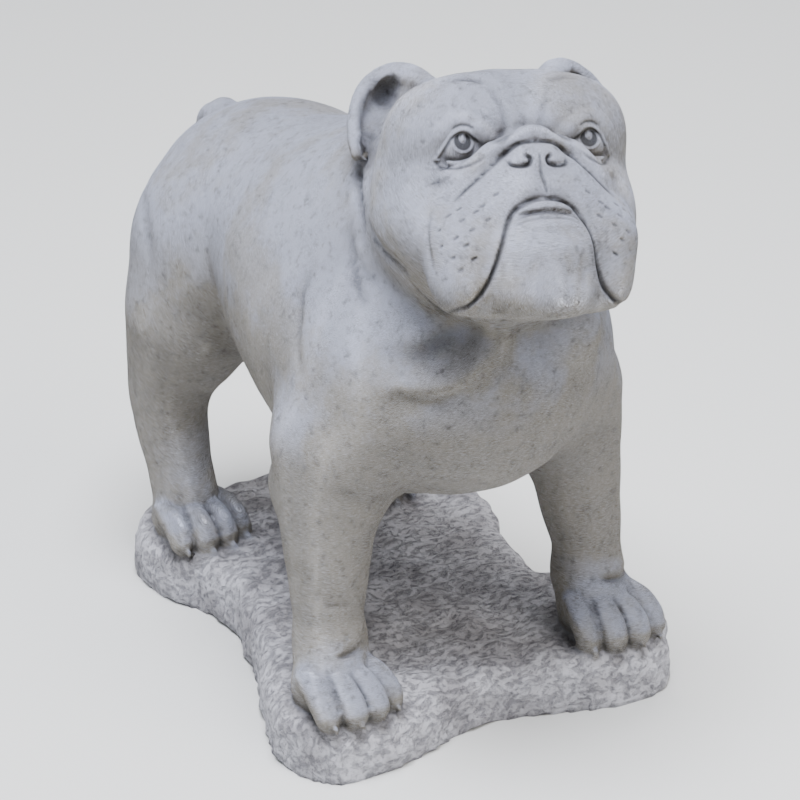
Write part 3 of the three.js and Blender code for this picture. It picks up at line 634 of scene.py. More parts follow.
@dataclass
class Dog:
    """Stocky dog, from its ribs out to its paws."""

    deck: float = 40.0
    head: Head = field(default_factory=Head)

    def trunk(self, body: Sculpture) -> None:
        """Ribs, loin, rump, neck, breast and tail."""
        body.join(1, ball((0, 54, 260), (108, 124, 115)))
        body.join(60, ball((0, 178, 286), (82, 106, 84)))
        body.join(50, ball((0, 257, 270), (84, 79, 80)))
        body.join(50, limb((0, 84, 300), (0, 4, 362), 88, 74))
        body.join(40, ball((0, -40, 268), (92, 66, 84)))
        body.join(8, rope([(0, 312, 330), (0, 334, 318), (2, 341, 296)], [13, 10, 6]))

    def paws(self) -> list[Paw]:
        """Four paws, with the right foreleg set a little out."""
        fore = [Paw((-112, -46, self.deck), 4), Paw((104, -46, self.deck), -4)]
        hind = [Paw((s * 72, 234, self.deck), -4 * s, 62, 58) for s in (-1, 1)]
        return fore + hind

    def legs(self, body: Sculpture) -> None:
        """Shoulders, forelegs, thighs and hind legs."""
        for side in Side:
            s = side.value
            body.join(26, ball((s * 80, -4, 245), (38, 54, 84), (0, s * -5, 0)))
            body.join(22, rope(side.across([(95, -2, 214), (99, -7, 172), (102, -12, 132),
                                            (105, -17, 98), (105, -20, 72)]),
                               [39, 34.5, 29, 24.5, 23.5]))
            body.join(12, ball((s * 104, 18, 178), (22, 26, 26)))
            foot = -112 if side is Side.RIGHT else 104
            body.join(12, limb((s * 105, -20, 76), (foot, -34, 62), 23, 24))
            body.join(30, ball((s * 60, 248, 236), (44, 56, 80), (8, 0, 0)))
            body.join(24, rope(side.across([(68, 250, 205), (73, 262, 165), (75, 264, 128),
                                            (74, 254, 92), (73, 246, 68)]),
                               [40, 33, 27.5, 24, 24]))
        for paw in self.paws():
            paw.shape(body)

    def throat(self, body: Sculpture) -> None:
        """Hanging skin of the throat and the roll behind the cheek."""
        body.join(10, rope([(-84, -66, 280), (-56, -89, 285), (-35, -95, 298), (-21, -96, 315),
                            (-24, -98, 332)], [4, 9, 10, 10, 8]))
        body.join(12, ball((38, -90, 301), (26, 17, 26)))
        # the last number of a furrow paints shade into its crease
        body.furrow([(-88, -66, 280), (-73, -84, 274), (-56, -97, 279), (-40, -104, 290),
                     (-28, -106, 304)], 5, [1, 3.5, 4, 3, 1], 0.4)
        body.furrow([(-80, -62, 304), (-66, -73, 304), (-54, -78, 311), (-44, -84, 320)],
                    8, [2, 6, 7, 5], 0.6)
        body.furrow([(-24, -110, 334), (-25, -107, 320), (-26, -106, 306), (-19, -103, 290)],
                    4, [4, 4, 3, 1], 0.5)
        body.furrow([(14, -102, 320), (14, -103, 305), (22, -106, 288), (38, -104, 276)],
                    6, [3, 4.5, 4, 1.5])

    def creases(self, body: Sculpture) -> None:
        """Creases of the neck, shoulders, belly, flanks and wrists."""
        # the last number of a furrow paints shade into its crease
        body.furrow([(-58, 18, 403), (-62, 9, 398), (-67, -1, 389), (-71, -11, 379),
                     (-74, -12, 367)], 2.6, [4, 4, 4, 4, 2.5], 0.9)
        body.furrow([(-76, -26, 386), (-76, -30, 373), (-77, -45, 369), (-76, -60, 367),
                     (-73, -67, 362), (-70, -69, 355)], 2.4, [1, 2, 2.6, 3, 4, 4], 0.8)
        body.furrow([(-74, 3, 378), (-76, -2, 363), (-78, -8, 348), (-81, -18, 337),
                     (-82, -31, 328)], 3, [1.5, 3, 3.2, 3, 1.5], 0.5)
        body.furrow([(-77, -13, 353), (-77, -22, 345), (-76, -30, 342)], 3, [1, 2.4, 1.4], 0.5)
        body.furrow([(-70, -69, 355), (-63, -74, 345), (-57, -76, 337), (-50, -80, 330),
                     (-46, -86, 329)], 2.2, [3, 3, 3, 3, 2], 0.8)
        body.furrow([(-92, 22, 338), (-99, 23, 316), (-105, 16, 303), (-112, 10, 288),
                     (-116, -4, 272)], 3.4, [1, 4, 4, 2.5, 1], 0.7)
        body.furrow([(-77, 290, 301), (-92, 262, 296), (-99, 251, 287), (-102, 241, 276),
                     (-103, 237, 267), (-104, 234, 252)], 5, [0.5, 1.5, 2.5, 3, 3, 1], 0.45)
        body.furrow([(-124, -31, 118), (-112, -40, 114), (-100, -41, 116)], 2.4, [0.8, 1.4, 1],
                    0.5)
        body.furrow([(-112, -44, 197), (-85, -50, 190), (-60, -46, 188), (-36, -66, 194)],
                    6, [2, 5, 5, 1])
        body.furrow([(38, -80, 210), (62, -68, 201), (84, -52, 196), (106, -44, 198)],
                    6, [2, 5, 5, 1])
        for side in Side:
            body.furrow(side.across([(97, 190, 300), (90, 180, 275), (85, 174, 253),
                                     (78, 176, 236), (67, 190, 208)]), 7, [1, 4, 7, 5, 2])
            body.furrow(side.across([(130, -18, 76), (122, -42, 76), (106, -48, 79),
                                     (88, -38, 81)]), 3, [1, 3, 3, 1], 0.45)

    def sculpt(self) -> Sculpture:
        """Whole dog."""
        body = Sculpture()
        self.trunk(body)
        self.legs(body)
        self.throat(body)
        self.creases(body)
        body.join(12, self.head.form())
        return body


@dataclass
class Slab:
    """Low slab of rock with a wavy outline and a rounded edge."""

    thickness: float = 40.0
    half_width: float = 160.0
    half_length: float = 198.0
    middle: float = 107.0
    edge_round: float = 14.0
    shares: tuple[tuple[float, float], ...] = (
        (-0.83, -0.95), (-0.96, -0.7), (-0.8, -0.36), (-0.62, 0.0), (-0.54, 0.3),
        (-0.67, 0.68), (-0.53, 0.95), (0, 0.99), (0.55, 0.98), (0.86, 0.84), (0.95, 0.5),
        (0.8, 0.08), (0.76, -0.18), (0.98, -0.46), (1, -0.68), (0.85, -0.93), (0.55, -0.97),
        (0, -0.84), (-0.45, -0.93))

    def outline(self) -> Points:
        """Closed smooth outline, seen from above."""
        given = [(x * self.half_width, y * self.half_length + self.middle)
                 for x, y in self.shares]
        steps = 5
        return spline(given[-2:] + given + given[:3], steps)[2 * steps:-2 * steps]

    def form(self) -> Form:
        """Slab as one form."""
        ring, lift = self.outline(), self.thickness - self.edge_round
        closed = np.vstack([ring, ring[:1]])

        def distance(points: Points) -> Values:
            """Distance from the slab."""
            flat = points[:, :2]
            best, _ = chain_distance(flat, closed)
            inside = np.zeros(len(flat), bool)
            for start, end in zip(closed[:-1], closed[1:]):
                crossed = (start[1] > flat[:, 1]) != (end[1] > flat[:, 1])
                if crossed.any():
                    slope = (end[0] - start[0]) / (end[1] - start[1])
                    inside ^= crossed & (flat[:, 0] < start[0]
                                         + (flat[:, 1] - start[1]) * slope)
            out = np.where(inside, -1, 1) * best + self.edge_round
            up = points[:, 2] - lift
            over = np.hypot(np.maximum(out, 0), np.maximum(up, 0))
            return np.minimum(np.maximum(out, up), 0) + over - self.edge_round

        low = np.array([*ring.min(0), 0.0])
        return Form(distance, low, np.array([*ring.max(0), self.thickness]))


# The casting's mesh


@dataclass
class Relief:
    """Worn and pitted surface of the casting, laid over its smooth forms."""

    rock_lump: float = 25.0
    rock_height: float = 3.8
    pit_size: float = 9.0
    pit_depth: float = 1.6
    coat_lump: float = 26.0
    coat_height: float = 0.8

    def heights(self, points: Points, rock: Values) -> Values:
        """How far each point is pushed out.

        Args:
            points: Points in millimetres.
            rock: Share of the slab at each point.

        Returns:
            The heights in millimetres.
        """
        out = np.zeros(len(points))
        for i, (x, y, z) in enumerate(points):
            place = Vector((x, y, z))
            if rock[i] > 0.02:
                lump = noise.fractal(place / self.rock_lump, 1.0, 2.0, 3)
                pit = noise.noise(Vector((x / self.pit_size / 1.9, y / self.pit_size,
                                          z / self.pit_size)))
                out[i] = rock[i] * (self.rock_height * lump
                                    - self.pit_depth * max(0.0, pit - 0.05) * 2)
            if rock[i] < 0.98:
                out[i] += (1 - rock[i]) * self.coat_height * noise.noise(place / self.coat_lump)
        return out


@dataclass
class Casting:
    """One mesh of the dog and its slab, and the marks that its finish reads."""

    dog: Dog = field(default_factory=Dog)
    slab: Slab = field(default_factory=Slab)
    relief: Relief = field(default_factory=Relief)
    low: Point = (-168.0, -190.0, -8.0)
    high: Point = (172.0, 352.0, 496.0)
    cell: float = 4.6
    far_off: float = 50.0
    foot_fillet: float = 9.0
    probe: float = 0.4
    longest_move: float = 1.6
    crevice_reach: float = 3.5
    hollow_reach: float = 13.0
    face_middle: Point = (0.0, 30.0, -18.0)
    face_edge: tuple[float, float] = (96.0, 112.0)

    def __post_init__(self) -> None:
        """Make the two bodies ready."""
        self.body = self.dog.sculpt()
        self.rock = self.slab.form()
        self.deck = self.slab.thickness

    def group_distance(self, points: Points) -> Values:
        """Distance of a close group of points from the statue."""
        value = self.body.distance(points)
        low = points[:, 2].min()
        if low < self.deck * 2:
            ground = self.rock.distance(points) if low < self.deck + 20 else \
                points[:, 2] - self.deck
            value = soft_join(ground, value, self.foot_fillet)
        return np.maximum(value, -points[:, 2]) if low < 30 else value

    def distance(self, points: Points, block: float = 24.0) -> Values:
        """Distance from the statue.

        Args:
            points: Points in millimetres.
            block: Side of the cubes that points are worked in.

        Returns:
            The distances.
        """
        cube = np.floor((points - points.min(0)) / block).astype(np.int64)
        count = cube.max(0) + 1
        key = (cube[:, 0] * count[1] + cube[:, 1]) * count[2] + cube[:, 2]
        order = np.argsort(key, kind="stable")
        cuts = np.flatnonzero(np.diff(key[order])) + 1
        out = np.empty(len(points))
        for group in np.split(order, cuts):
            out[group] = self.group_distance(points[group])
        return out

    def lattice(self) -> np.ndarray:
        """Distances on an even lattice, worked out only where the surface passes."""
        origin, block = np.array(self.low), 8
        blocks = np.ceil((np.array(self.high) - origin) / self.cell / block).astype(int)
        volume = np.full(blocks * block, self.far_off)
        corners = np.argwhere(np.ones(blocks, bool)) * block
        eighths = np.argwhere(np.ones((2, 2, 2), bool))
        while block >= 2:
            middle = origin + (corners + (block - 1) / 2) * self.cell
            value = self.distance(middle, max(24.0, block * self.cell * 2.5))
            half = self.cell * block * sqrt(3) / 2
            for (i, j, k), v in zip(corners, value):
                volume[i:i + block, j:j + block, k:k + block] = v
            near = corners[np.abs(value) < half * 1.1 + 2.0]
            block //= 2
            corners = (near[:, None] + eighths[None] * block).reshape(-1, 3)
        value = self.distance(origin + corners * self.cell)
        volume[corners[:, 0], corners[:, 1], corners[:, 2]] = value
        LOG.info("lattice of %d near points", len(corners))
        return volume

    def skin(self) -> bpy.types.Mesh:
        """Even quads over the statue, in millimetres."""
        grid = openvdb.FloatGrid(self.far_off)
        grid.copyFromArray(np.ascontiguousarray(self.lattice()))
        points, quads = grid.convertToQuads(0.0)
        mesh = bpy.data.meshes.new("bulldog_statue_skin")
        mesh.from_pydata((points * self.cell + np.array(self.low)).tolist(), [], quads.tolist())
        return mesh

    def fine_spots(self) -> list[tuple[Points, float]]:
        """Places of the finest carving, as middles and radii."""
        spots = [((0, -34, -14), 26), ((0, -44, -52), 36)]
        for side in Side:
            spots.append((side.across([(43, -10, 0)])[0], 22))
            spots.append((side.across([(48, -24, -56)])[0], 30))
            spots.append((side.across([(42, -18, -92)])[0], 22))
        return [(self.dog.head.placed([middle])[0], radius) for middle, radius in spots]

    def eye_spots(self) -> list[tuple[Points, float]]:
        """Middles and radii of the two eyes."""
        return [(self.dog.head.placed(side.across([(43, -9, 1)]))[0], 13.0) for side in Side]

    def refine(self, work: bmesh.types.BMesh) -> None:
        """Divide the faces of the head and paws once, of the fine spots twice and of the
        eyes three times."""
        middle, reach = self.dog.head.placed([(0, 10, -18)])[0], 104.0
        claws = [(np.array(paw.centre) + [0, -20, 14], 34.0) for paw in self.dog.paws()]
        for spots in ([(middle, reach), *claws], self.fine_spots(), self.eye_spots()):
            edges = set()
            for face in work.faces:
                place = np.array(face.calc_center_median())
                if any(np.sum((place - spot) ** 2) < size * size for spot, size in spots):
                    edges.update(face.edges)
            bmesh.ops.subdivide_edges(work, edges=list(edges), cuts=1, use_grid_fill=True)
            LOG.info("refined to %d faces", len(work.faces))

    def settle(self, points: Points, normals: Points, rounds: int) -> Points:
        """Lay points on the exact surface along their normals."""
        where = points.copy()
        for _ in range(rounds):
            value = self.distance(where)
            ahead = self.distance(where + normals * self.probe)
            slope = np.clip((ahead - value) / self.probe, 0.35, 2.0)
            move = np.clip(value / slope, -self.longest_move, self.longest_move)
            where = where - normals * move[:, None]
        return where

    def mesh(self) -> tuple[bpy.types.Mesh, dict[str, Values]]:
        """Finished mesh.

        Returns:
            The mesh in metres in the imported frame, and its marks for the finish.
        """
        mesh = self.skin()
        work = bmesh.new()
        work.from_mesh(mesh)
        bmesh.ops.recalc_face_normals(work, faces=work.faces)
        under = [face for face in work.faces
                 if max(abs(vertex.co.z) for vertex in face.verts) < self.cell * 0.4]
        bmesh.ops.dissolve_faces(work, faces=under, use_verts=True)
        self.refine(work)
        bmesh.ops.triangulate(work, faces=[face for face in work.faces if len(face.verts) > 4],
                              quad_method="BEAUTY", ngon_method="BEAUTY")
        work.to_mesh(mesh)
        work.free()
        places, normals = self.read(mesh)
        places = self.settle(places, normals, 3)
        under = places[:, 2] < 0.8
        places[under, 2] = 0.0
        self.write(mesh, places)
        places, normals = self.read(mesh)
        marks = self.marks(places, normals)
        heights = self.relief.heights(places, marks["rock"])
        heights[places[:, 2] < 1.0] = 0.0
        self.write(mesh, places + normals * heights[:, None])
        places, _ = self.read(mesh)
        places[:, 1] -= self.slab.middle
        self.write(mesh, places * MILLIMETRE)
        LOG.info("mesh of %d faces", len(mesh.polygons))
        return mesh, marks

    @staticmethod
    def read(mesh: bpy.types.Mesh) -> tuple[Points, Points]:
        """Places and normals of a mesh's vertices."""
        places = np.empty(len(mesh.vertices) * 3)
        normals = np.empty(len(mesh.vertices) * 3)
        mesh.vertices.foreach_get("co", places)
        mesh.vertices.foreach_get("normal", normals)
        return places.reshape(-1, 3), normals.reshape(-1, 3)

    @staticmethod
    def write(mesh: bpy.types.Mesh, places: Points) -> None:
        """Put a mesh's vertices in new places."""
        mesh.vertices.foreach_set("co", places.ravel())
        mesh.update()

    def marks(self, places: Points, normals: Points) -> dict[str, Values]:
        """What the finish reads at each vertex.

        Args:
            places: Vertices in millimetres.
            normals: Their normals.

        Returns:
            Values by name: crevice for painted shade in narrow grooves, hollow for painted shade
                in
            wide ones, line for drawn shade lines and the shade in the pupil recesses, face for
            the head, rock for the slab and sky for how far the surface looks up.
        """
        # Like ambient occlusion: how closed in the surface is a short and a long step out along
        # the normal. The finish paints both as shade.
        narrow = 1 - self.distance(places + normals * self.crevice_reach) / self.crevice_reach
        wide = 1 - self.distance(places + normals * self.hollow_reach) / self.hollow_reach
        local = self.dog.head.local(places)
        away = np.linalg.norm((local - np.array(self.face_middle)) / [1.05, 1, 1], axis=1)
        dog = self.dog_distance(places)
        lines = np.maximum(self.body.soot_and_shade(places), self.dog.head.sculpt().soot_and_shade(local))
        return {
            "crevice": np.clip(narrow, 0, 1),
            "hollow": np.clip(wide, 0, 1),
            "line": np.maximum(lines, self.dog.head.pupil_shade(local)),
            "face": 1 - step(away, *self.face_edge),
            "rock": step(dog, 0.5, 4.0) * (places[:, 2] < self.deck + 12),
            "sky": 0.5 + 0.5 * normals[:, 2],
        }

    def dog_distance(self, places: Points) -> Values:
        """Distance of vertices from the dog alone."""
        out = np.full(len(places), -5.0)
        low = places[:, 2] < self.deck + 12
        out[low] = self.body.distance(places[low])
        return out


# Finish


def linear(colour: str) -> tuple[float, float, float, float]:
    """Linear colour of an sRGB hex value."""
    parts = [int(colour[i:i + 2], 16) / 255 for i in (1, 3, 5)]
    red, green, blue = (p / 12.92 if p <= 0.04045 else ((p + 0.055) / 1.055) ** 2.4
                        for p in parts)
    return red, green, blue, 1.0


def add_node(tree: bpy.types.NodeTree, kind: str, links: dict[Any, Any] | None = None,
             **settings: Any) -> bpy.types.Node:
    """Add a node with its settings and links.

    Args:
        tree: Node tree to add to.
        kind: Type name of the node.
        links: Output socket, node or plain value, by the name or place of the input it
            feeds. A node gives its first output.
        settings: Attributes of the node.

    Returns:
        The node.
    """
    node = tree.nodes.new(kind)
    for name, value in settings.items():
        setattr(node, name, value)
    for place, value in (links or {}).items():
        if isinstance(value, (bpy.types.NodeSocket, bpy.types.Node)):
            first = value.outputs[0] if isinstance(value, bpy.types.Node) else value
            tree.links.new(first, node.inputs[place])
        else:
            node.inputs[place].default_value = value
    return node


@dataclass(frozen=True)
class WeatheredConcrete:
    """Cast stone mix, wet cast in a mould and left outdoors.

    Fine cement skin, matt. It is pale and bluish where it faces up, which is painted sky light
    over the rain wash, and grey-brown in blotches and where it faces down or lies low under the
    body, which is painted shade. Painted shade also lies in the grooves, hollows and drawn lines
    of the carving; grime lies in the combed coat and in the pits of the rock.
    """

    name: str = "weathered_cast_concrete"
    bleached: str = "#eef2ff"
    # pale bluish base, which the faces looking up keep as painted sky light
    washed_and_skylit: str = "#ccd1e6"
    # grey-brown for blotches, and for painted shade where the surface faces down or lies low
    # under the body
    damp_and_shade: str = "#aea697"
    # dark grey: grime in the mottle and the combed strokes, and painted shade in hollows and
    # grooves
    soot_and_shade: str = "#55514e"
    # near black for the painted shade of the drawn lines and the pupil recesses
    line_shade: str = "#2d2b2a"
    rock_pale: str = "#c3c2c9"
    rock: str = "#a3a1a6"
    rock_soot: str = "#54535a"
    roughness: float = 0.92
    specular: float = 0.25
    coat_stroke: float = 20.0
    coat_width: float = 2.8
    blotch: float = 75.0
    patch: float = 24.0
    mottle: float = 6.5
    rock_patch: float = 40.0
    rock_pit: float = 4.6
    rock_speck: float = 2.6
    grain: float = 1.8
    body_fan: float = 0.16
    face_fan: float = 0.06
    grain_height: float = 0.0005
    stroke_depth: float = 0.004
    pit_depth: float = 0.002

    def build(self, head: Head, ahead: float) -> bpy.types.Material:
        """Make the material.

        Args:
            head: Head, whose coat is combed away from the nose.
            ahead: How far the forelegs stand before the middle.

        Returns:
            The material.
        """
        material = bpy.data.materials.new(self.name)
        material.use_nodes = True
        node = partial(add_node, material.node_tree)
        shader = material.node_tree.nodes["Principled BSDF"]
        shader.inputs["Roughness"].default_value = self.roughness
        shader.inputs["Specular IOR Level"].default_value = self.specular
        place = node("ShaderNodeTexCoord").outputs["Object"]
        mark = {name: node("ShaderNodeAttribute", attribute_name=name).outputs["Fac"]
                for name in ("crevice", "hollow", "line", "face", "rock", "sky")}
        combed = self.combed(node, place, mark["face"], head, ahead)
        pits = self.pits(node, place)
        coat = self.coat(node, place, mark, combed)
        rock = self.slab(node, place, pits)
        both = node("ShaderNodeMixRGB", {0: mark["rock"], 1: coat, 2: rock})
        links = material.node_tree.links
        links.new(self.painted_shade(node, mark, both).outputs[0], shader.inputs["Base Color"])
        links.new(self.relief(node, place, mark, combed, pits).outputs[0],
                  shader.inputs["Normal"])
        return material

    def combed(self, node: NodeMaker, place: bpy.types.NodeSocket, face: bpy.types.NodeSocket,
               head: Head, ahead: float) -> bpy.types.Node:
        """Short strokes of the coat, which fan out from the withers and from the nose.

        Args:
            node: Adds a node.
            place: Object coordinates.
            face: Share of the face at each point.
            head: Head of the dog.
            ahead: How far the forelegs stand before the middle.

        Returns:
            Noise drawn out along the hair.
        """
        withers = (0.0, (-20 - ahead) * MILLIMETRE, 0.38)
        away = node("ShaderNodeVectorMath", {0: place, 1: withers}, operation="SUBTRACT")
        parts = node("ShaderNodeSeparateXYZ", {0: away}).outputs
        turn = node("ShaderNodeMath", {0: parts["Z"], 1: parts["Y"]}, operation="ARCTAN2")
        turn = node("ShaderNodeMath", {0: turn, 1: self.body_fan}, operation="MULTIPLY")
        plane = node("ShaderNodeCombineXYZ", {"Y": parts["Y"], "Z": parts["Z"]})
        reach = node("ShaderNodeVectorMath", {0: plane}, operation="LENGTH").outputs["Value"]
        across = node("ShaderNodeCombineXYZ", {"X": parts["X"], "Y": turn})
        body = self.strokes(node, across, reach)
        nose = (head.placed([(0, -10, 0)])[0] - [0, ahead, 0]) * MILLIMETRE
        away = node("ShaderNodeVectorMath", {0: place, 1: tuple(nose)}, operation="SUBTRACT")
        reach = node("ShaderNodeVectorMath", {0: away}, operation="LENGTH").outputs["Value"]
        sides = [node("ShaderNodeVectorMath", {0: away, 1: tuple(head.matrix()[:, axis])},
                      operation="DOT_PRODUCT").outputs["Value"] for axis in (0, 2)]
        round_nose = node("ShaderNodeCombineXYZ", {"X": sides[0], "Y": sides[1]})
        unit = node("ShaderNodeVectorMath", {0: round_nose}, operation="NORMALIZE")
        fan = node("ShaderNodeVectorMath", {0: unit, 3: self.face_fan}, operation="SCALE")
        return node("ShaderNodeMix", {0: face, 2: body, 3: self.strokes(node, fan, reach)})

    def strokes(self, node: NodeMaker, across: bpy.types.Node,
                along: bpy.types.NodeSocket) -> bpy.types.Node:
        """Noise drawn out along one way, as wide and long as a tool's stroke."""
        length = node("ShaderNodeMath", {0: along, 1: self.coat_stroke * MILLIMETRE},
                      operation="DIVIDE")
        return node("ShaderNodeTexNoise",
                    {"Vector": across, "W": length, "Scale": 1 / (self.coat_width * MILLIMETRE),
                     "Detail": 2.0, "Roughness": 0.55}, noise_dimensions="4D")

    def cloud(self, node: NodeMaker, place: Any, size: float, detail: float, least: float,
              most: float, share: float) -> bpy.types.Node:
        """Patches of cloudy noise.

        Args:
            node: Adds a node.
            place: Coordinates.
            size: Size of the patches in millimetres.
            detail: Rounds of finer noise on them.
            least: Noise where a patch begins.
            most: Noise where it is full.
            share: Value in a full patch.

        Returns:
            0 between the patches and the share in them.
        """
        pattern = node("ShaderNodeTexNoise",
                       {"Vector": place, "Scale": 1 / (size * MILLIMETRE), "Detail": detail,
                        "Roughness": 0.62})
        return node("ShaderNodeMapRange", {"Value": pattern, "From Min": least,
                                           "From Max": most, "To Max": share},
                    interpolation_type="SMOOTHSTEP")

    def coat(self, node: NodeMaker, place: bpy.types.NodeSocket,
             mark: dict[str, bpy.types.NodeSocket], combed: bpy.types.Node) -> bpy.types.Node:
        """Colour of the dog: pale and bluish where it faces up, which is painted sky light;
        grey-brown where it faces down and low on its steep sides, which is painted shade; stained
        in patches, with bleached and dark strokes in the combed coat."""
        # painted shade: darker and warmer the more the surface faces down
        low = node("ShaderNodeMapRange", {"Value": mark["sky"], "From Min": 0.8, "From Max": 0.1},
                   interpolation_type="SMOOTHSTEP")
        stains = self.cloud(node, place, self.blotch, 6.0, 0.46, 0.64, 0.6)
        damp_and_shade = node("ShaderNodeMath", {0: low, 1: stains}, operation="ADD", use_clamp=True)
        height = node("ShaderNodeSeparateXYZ", {0: place}).outputs["Z"]
        # painted shade under the trunk and chin: darker and warmer lower down on steep sides
        under_body_shade = node("ShaderNodeMapRange", {"Value": height, "From Min": 0.31,
                                             "From Max": 0.19, "To Max": 0.6},
                      interpolation_type="SMOOTHSTEP")
        steep = node("ShaderNodeMapRange", {"Value": mark["sky"], "From Min": 0.85,
                                            "From Max": 0.55}, interpolation_type="SMOOTHSTEP")
        under_body_shade = node("ShaderNodeMath", {0: under_body_shade, 1: steep}, operation="MULTIPLY")
        damp_and_shade = node("ShaderNodeMath", {0: damp_and_shade, 1: under_body_shade}, operation="ADD", use_clamp=True)
        colour = node("ShaderNodeMixRGB", {0: damp_and_shade, 1: linear(self.washed_and_skylit),
                                           2: linear(self.damp_and_shade)})
        pale = node("ShaderNodeMapRange", {"Value": combed, "From Min": 0.52, "From Max": 0.34,
                                           "To Max": 0.8}, interpolation_type="SMOOTHSTEP")
        colour = node("ShaderNodeMixRGB", {0: pale, 1: colour, 2: linear(self.bleached)})
        spots = self.cloud(node, place, self.mottle, 6.0, 0.5, 0.8, 0.6)
        colour = node("ShaderNodeMixRGB", {0: spots, 1: colour, 2: linear(self.soot_and_shade)})
        lines = node("ShaderNodeMapRange", {"Value": combed, "From Min": 0.5, "From Max": 0.64},
                     interpolation_type="SMOOTHSTEP")
        held = self.cloud(node, place, self.patch, 4.0, 0.4, 0.62, 0.6)
        held = node("ShaderNodeMath", {0: held, 1: 0.28}, operation="ADD")
        lines = node("ShaderNodeMath", {0: lines, 1: held}, operation="MULTIPLY")
        return node("ShaderNodeMixRGB", {0: lines, 1: colour, 2: linear(self.soot_and_shade)})

    def pits(self, node: NodeMaker, place: bpy.types.NodeSocket) -> bpy.types.Node:
        """Ragged pits of the rock, drawn out a little across it."""
        bent = node("ShaderNodeTexNoise", {"Vector": place, "Scale": 55.0, "Detail": 2.0})
        bent = node("ShaderNodeVectorMath", {0: bent.outputs["Color"], 3: 0.012},
                    operation="SCALE")
        bent = node("ShaderNodeVectorMath", {0: place, 1: bent}, operation="ADD")
        drawn = node("ShaderNodeMapping", {"Vector": bent, "Scale": (0.7, 1, 1),
                                           "Rotation": (0, 0, radians(-14))})
        return self.cloud(node, drawn, self.rock_pit, 6.0, 0.44, 0.72, 1.0)

    def slab(self, node: NodeMaker, place: bpy.types.NodeSocket,
             pits: bpy.types.Node) -> bpy.types.Node:
        """Colour of the rock, darker in patches, in its pits and in fine specks."""
        patches = self.cloud(node, place, self.rock_patch, 4.0, 0.38, 0.62, 1.0)
        colour = node("ShaderNodeMixRGB", {0: patches, 1: linear(self.rock_pale),
                                           2: linear(self.rock)})
        specks = self.cloud(node, place, self.rock_speck, 3.0, 0.5, 0.75, 0.45)
        colour = node("ShaderNodeMixRGB", {0: specks, 1: colour, 2: linear(self.rock_soot)})
        deep = node("ShaderNodeMath", {0: pits, 1: 0.5}, operation="MULTIPLY")
        return node("ShaderNodeMixRGB", {0: deep, 1: colour, 2: linear(self.rock_soot)})

    def painted_shade(self, node: NodeMaker, mark: dict[str, bpy.types.NodeSocket],
             colour: bpy.types.Node) -> bpy.types.Node:
        """Painted shade laid over a colour in the hollows, grooves and drawn lines."""
        # the hollow, crevice and line marks darken the colour as painted shade
        for name, most, share, soot_and_shade in (("hollow", 1.15, 0.5, self.soot_and_shade),
                                        ("crevice", 1.3, 0.75, self.soot_and_shade),
                                        ("line", 1.0, 0.86, self.line_shade)):
            held = node("ShaderNodeMapRange", {"Value": mark[name], "From Min": 0.08,
                                               "From Max": most, "To Max": share})
            colour = node("ShaderNodeMixRGB", {0: held, 1: colour, 2: linear(soot_and_shade)})
        return colour

    def relief(self, node: NodeMaker, place: bpy.types.NodeSocket,
               mark: dict[str, bpy.types.NodeSocket], combed: bpy.types.Node,
               pits: bpy.types.Node) -> bpy.types.Node:
        """Fine relief: combed coat, pitted rock and the grain of the mix."""
        grain = node("ShaderNodeTexNoise", {"Vector": place, "Detail": 4.0,
                                            "Scale": 1 / (self.grain * MILLIMETRE)})
        grain = node("ShaderNodeMath", {0: grain, 1: self.grain_height}, operation="MULTIPLY")
        coat = node("ShaderNodeMath", {0: combed, 1: -self.stroke_depth}, operation="MULTIPLY")
        rock = node("ShaderNodeMath", {0: pits, 1: -self.pit_depth}, operation="MULTIPLY")
        height = node("ShaderNodeMix", {0: mark["rock"], 2: coat, 3: rock})
        height = node("ShaderNodeMath", {0: height, 1: grain}, operation="ADD")
        return node("ShaderNodeBump", {"Height": height, "Distance": 1.0, "Strength": 0.9})


# The studio


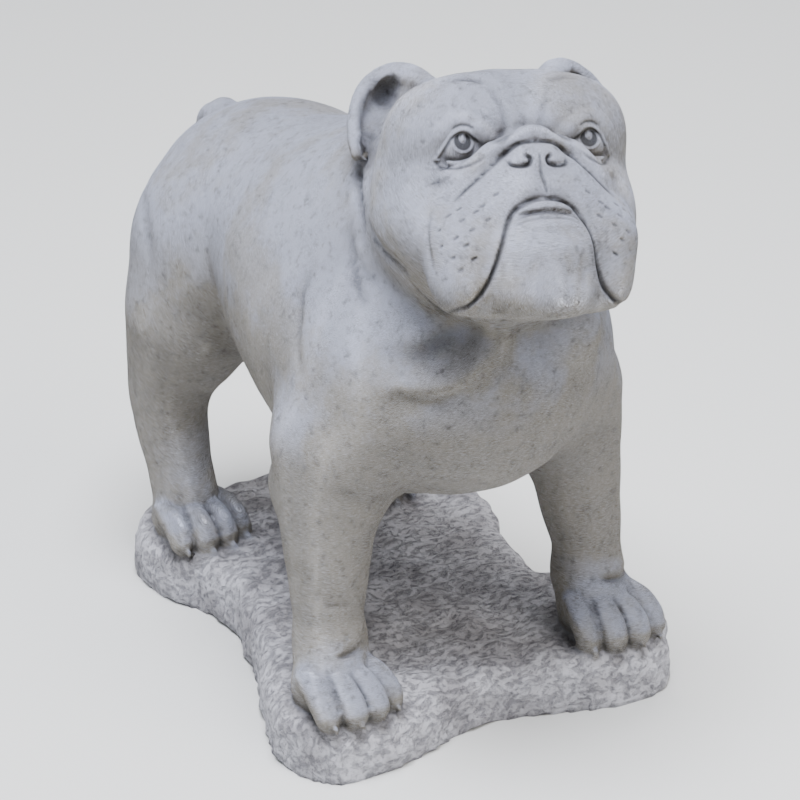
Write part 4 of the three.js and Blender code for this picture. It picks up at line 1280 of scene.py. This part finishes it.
@dataclass
class Studio:
    """Plain pale floor, soft light and the camera of the photograph."""

    target: Point = (-0.06634, -0.15505, 0.26)
    azimuth: float = -31.0
    elevation: float = 25.0
    distance: float = 3.0
    lens: float = 202.5
    floor_colour: str = "#dcdcda"

    def direction(self, azimuth: float, elevation: float) -> Vector:
        """Way from the statue out to something seen at these angles."""
        a, e = radians(azimuth), radians(elevation)
        return Vector((sin(a) * cos(e), -cos(a) * cos(e), sin(e)))

    def floor(self) -> bpy.types.Object:
        """Wide flat floor."""
        work = bmesh.new()
        bmesh.ops.create_grid(work, x_segments=1, y_segments=1, size=12.0)
        mesh = bpy.data.meshes.new("studio_floor")
        work.to_mesh(mesh)
        work.free()
        material = bpy.data.materials.new("studio_paper")
        material.use_nodes = True
        shader = material.node_tree.nodes["Principled BSDF"]
        shader.inputs["Base Color"].default_value = linear(self.floor_colour)
        shader.inputs["Roughness"].default_value = 0.9
        mesh.materials.append(material)
        floor = bpy.data.objects.new("studio_floor", mesh)
        bpy.context.scene.collection.objects.link(floor)
        return floor

    def lamp(self, name: str, azimuth: float, elevation: float, power: float, size: float,
             far: float, colour: str) -> None:
        """Add one square soft lamp that looks at the statue."""
        light = bpy.data.lights.new(name, "AREA")
        light.energy, light.size = power, size
        light.color = linear(colour)[:3]
        lamp = bpy.data.objects.new(name, light)
        way = self.direction(azimuth, elevation)
        lamp.location = Vector((0, -0.05, 0.25)) + way * far
        lamp.rotation_mode = "QUATERNION"
        lamp.rotation_quaternion = way.to_track_quat("Z", "Y")
        bpy.context.scene.collection.objects.link(lamp)

    def build(self) -> None:
        """Add floor, lamps, world and camera."""
        self.floor()
        self.lamp("key_lamp", -48, 76, 185, 1.3, 2.6, "#f4f7ff")
        self.lamp("front_lamp", 25, 38, 42, 1.8, 2.8, "#fffaf2")
        self.lamp("back_lamp", 150, 60, 30, 1.6, 2.8, "#ffffff")
        world = bpy.data.worlds.new("studio_world")
        world.use_nodes = True
        sky = world.node_tree.nodes["Background"]
        sky.inputs["Color"].default_value = linear("#e9edf2")
        sky.inputs["Strength"].default_value = 0.42
        bpy.context.scene.world = world
        camera = bpy.data.objects.new("camera", bpy.data.cameras.new("camera"))
        camera.data.lens, camera.data.clip_end = self.lens, 50
        way = self.direction(self.azimuth, self.elevation)
        camera.location = Vector(self.target) + way * self.distance
        camera.rotation_mode = "QUATERNION"
        camera.rotation_quaternion = way.to_track_quat("Z", "Y")
        bpy.context.scene.collection.objects.link(camera)
        bpy.context.scene.camera = camera


def dress(casting: Casting, finish: WeatheredConcrete) -> bpy.types.Object:
    """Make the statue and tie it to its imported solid.

    Args:
        casting: Shape of the statue.
        finish: Its surface.

    Returns:
        The statue's object.
    """
    mesh, marks = casting.mesh()
    for name, values in marks.items():
        attribute = mesh.attributes.new(name, "FLOAT", "POINT")
        attribute.data.foreach_set("value", values.astype(np.float32))
    mesh.polygons.foreach_set("use_smooth", np.ones(len(mesh.polygons), bool))
    mesh.materials.append(finish.build(casting.dog.head, casting.slab.middle))
    statue = bpy.data.objects.new("bulldog_cast", mesh)
    bpy.context.scene.collection.objects.link(statue)
    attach(statue, "root")
    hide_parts("bulldog_statue")
    return statue


def main() -> None:
    """Load the frame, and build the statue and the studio."""
    logging.basicConfig(level=logging.INFO, format="%(message)s")
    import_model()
    statue = dress(Casting(), WeatheredConcrete())
    LOG.info("statue with %d vertices", len(statue.data.vertices))
    Studio().build()


if __name__ == "__main__":
    main()
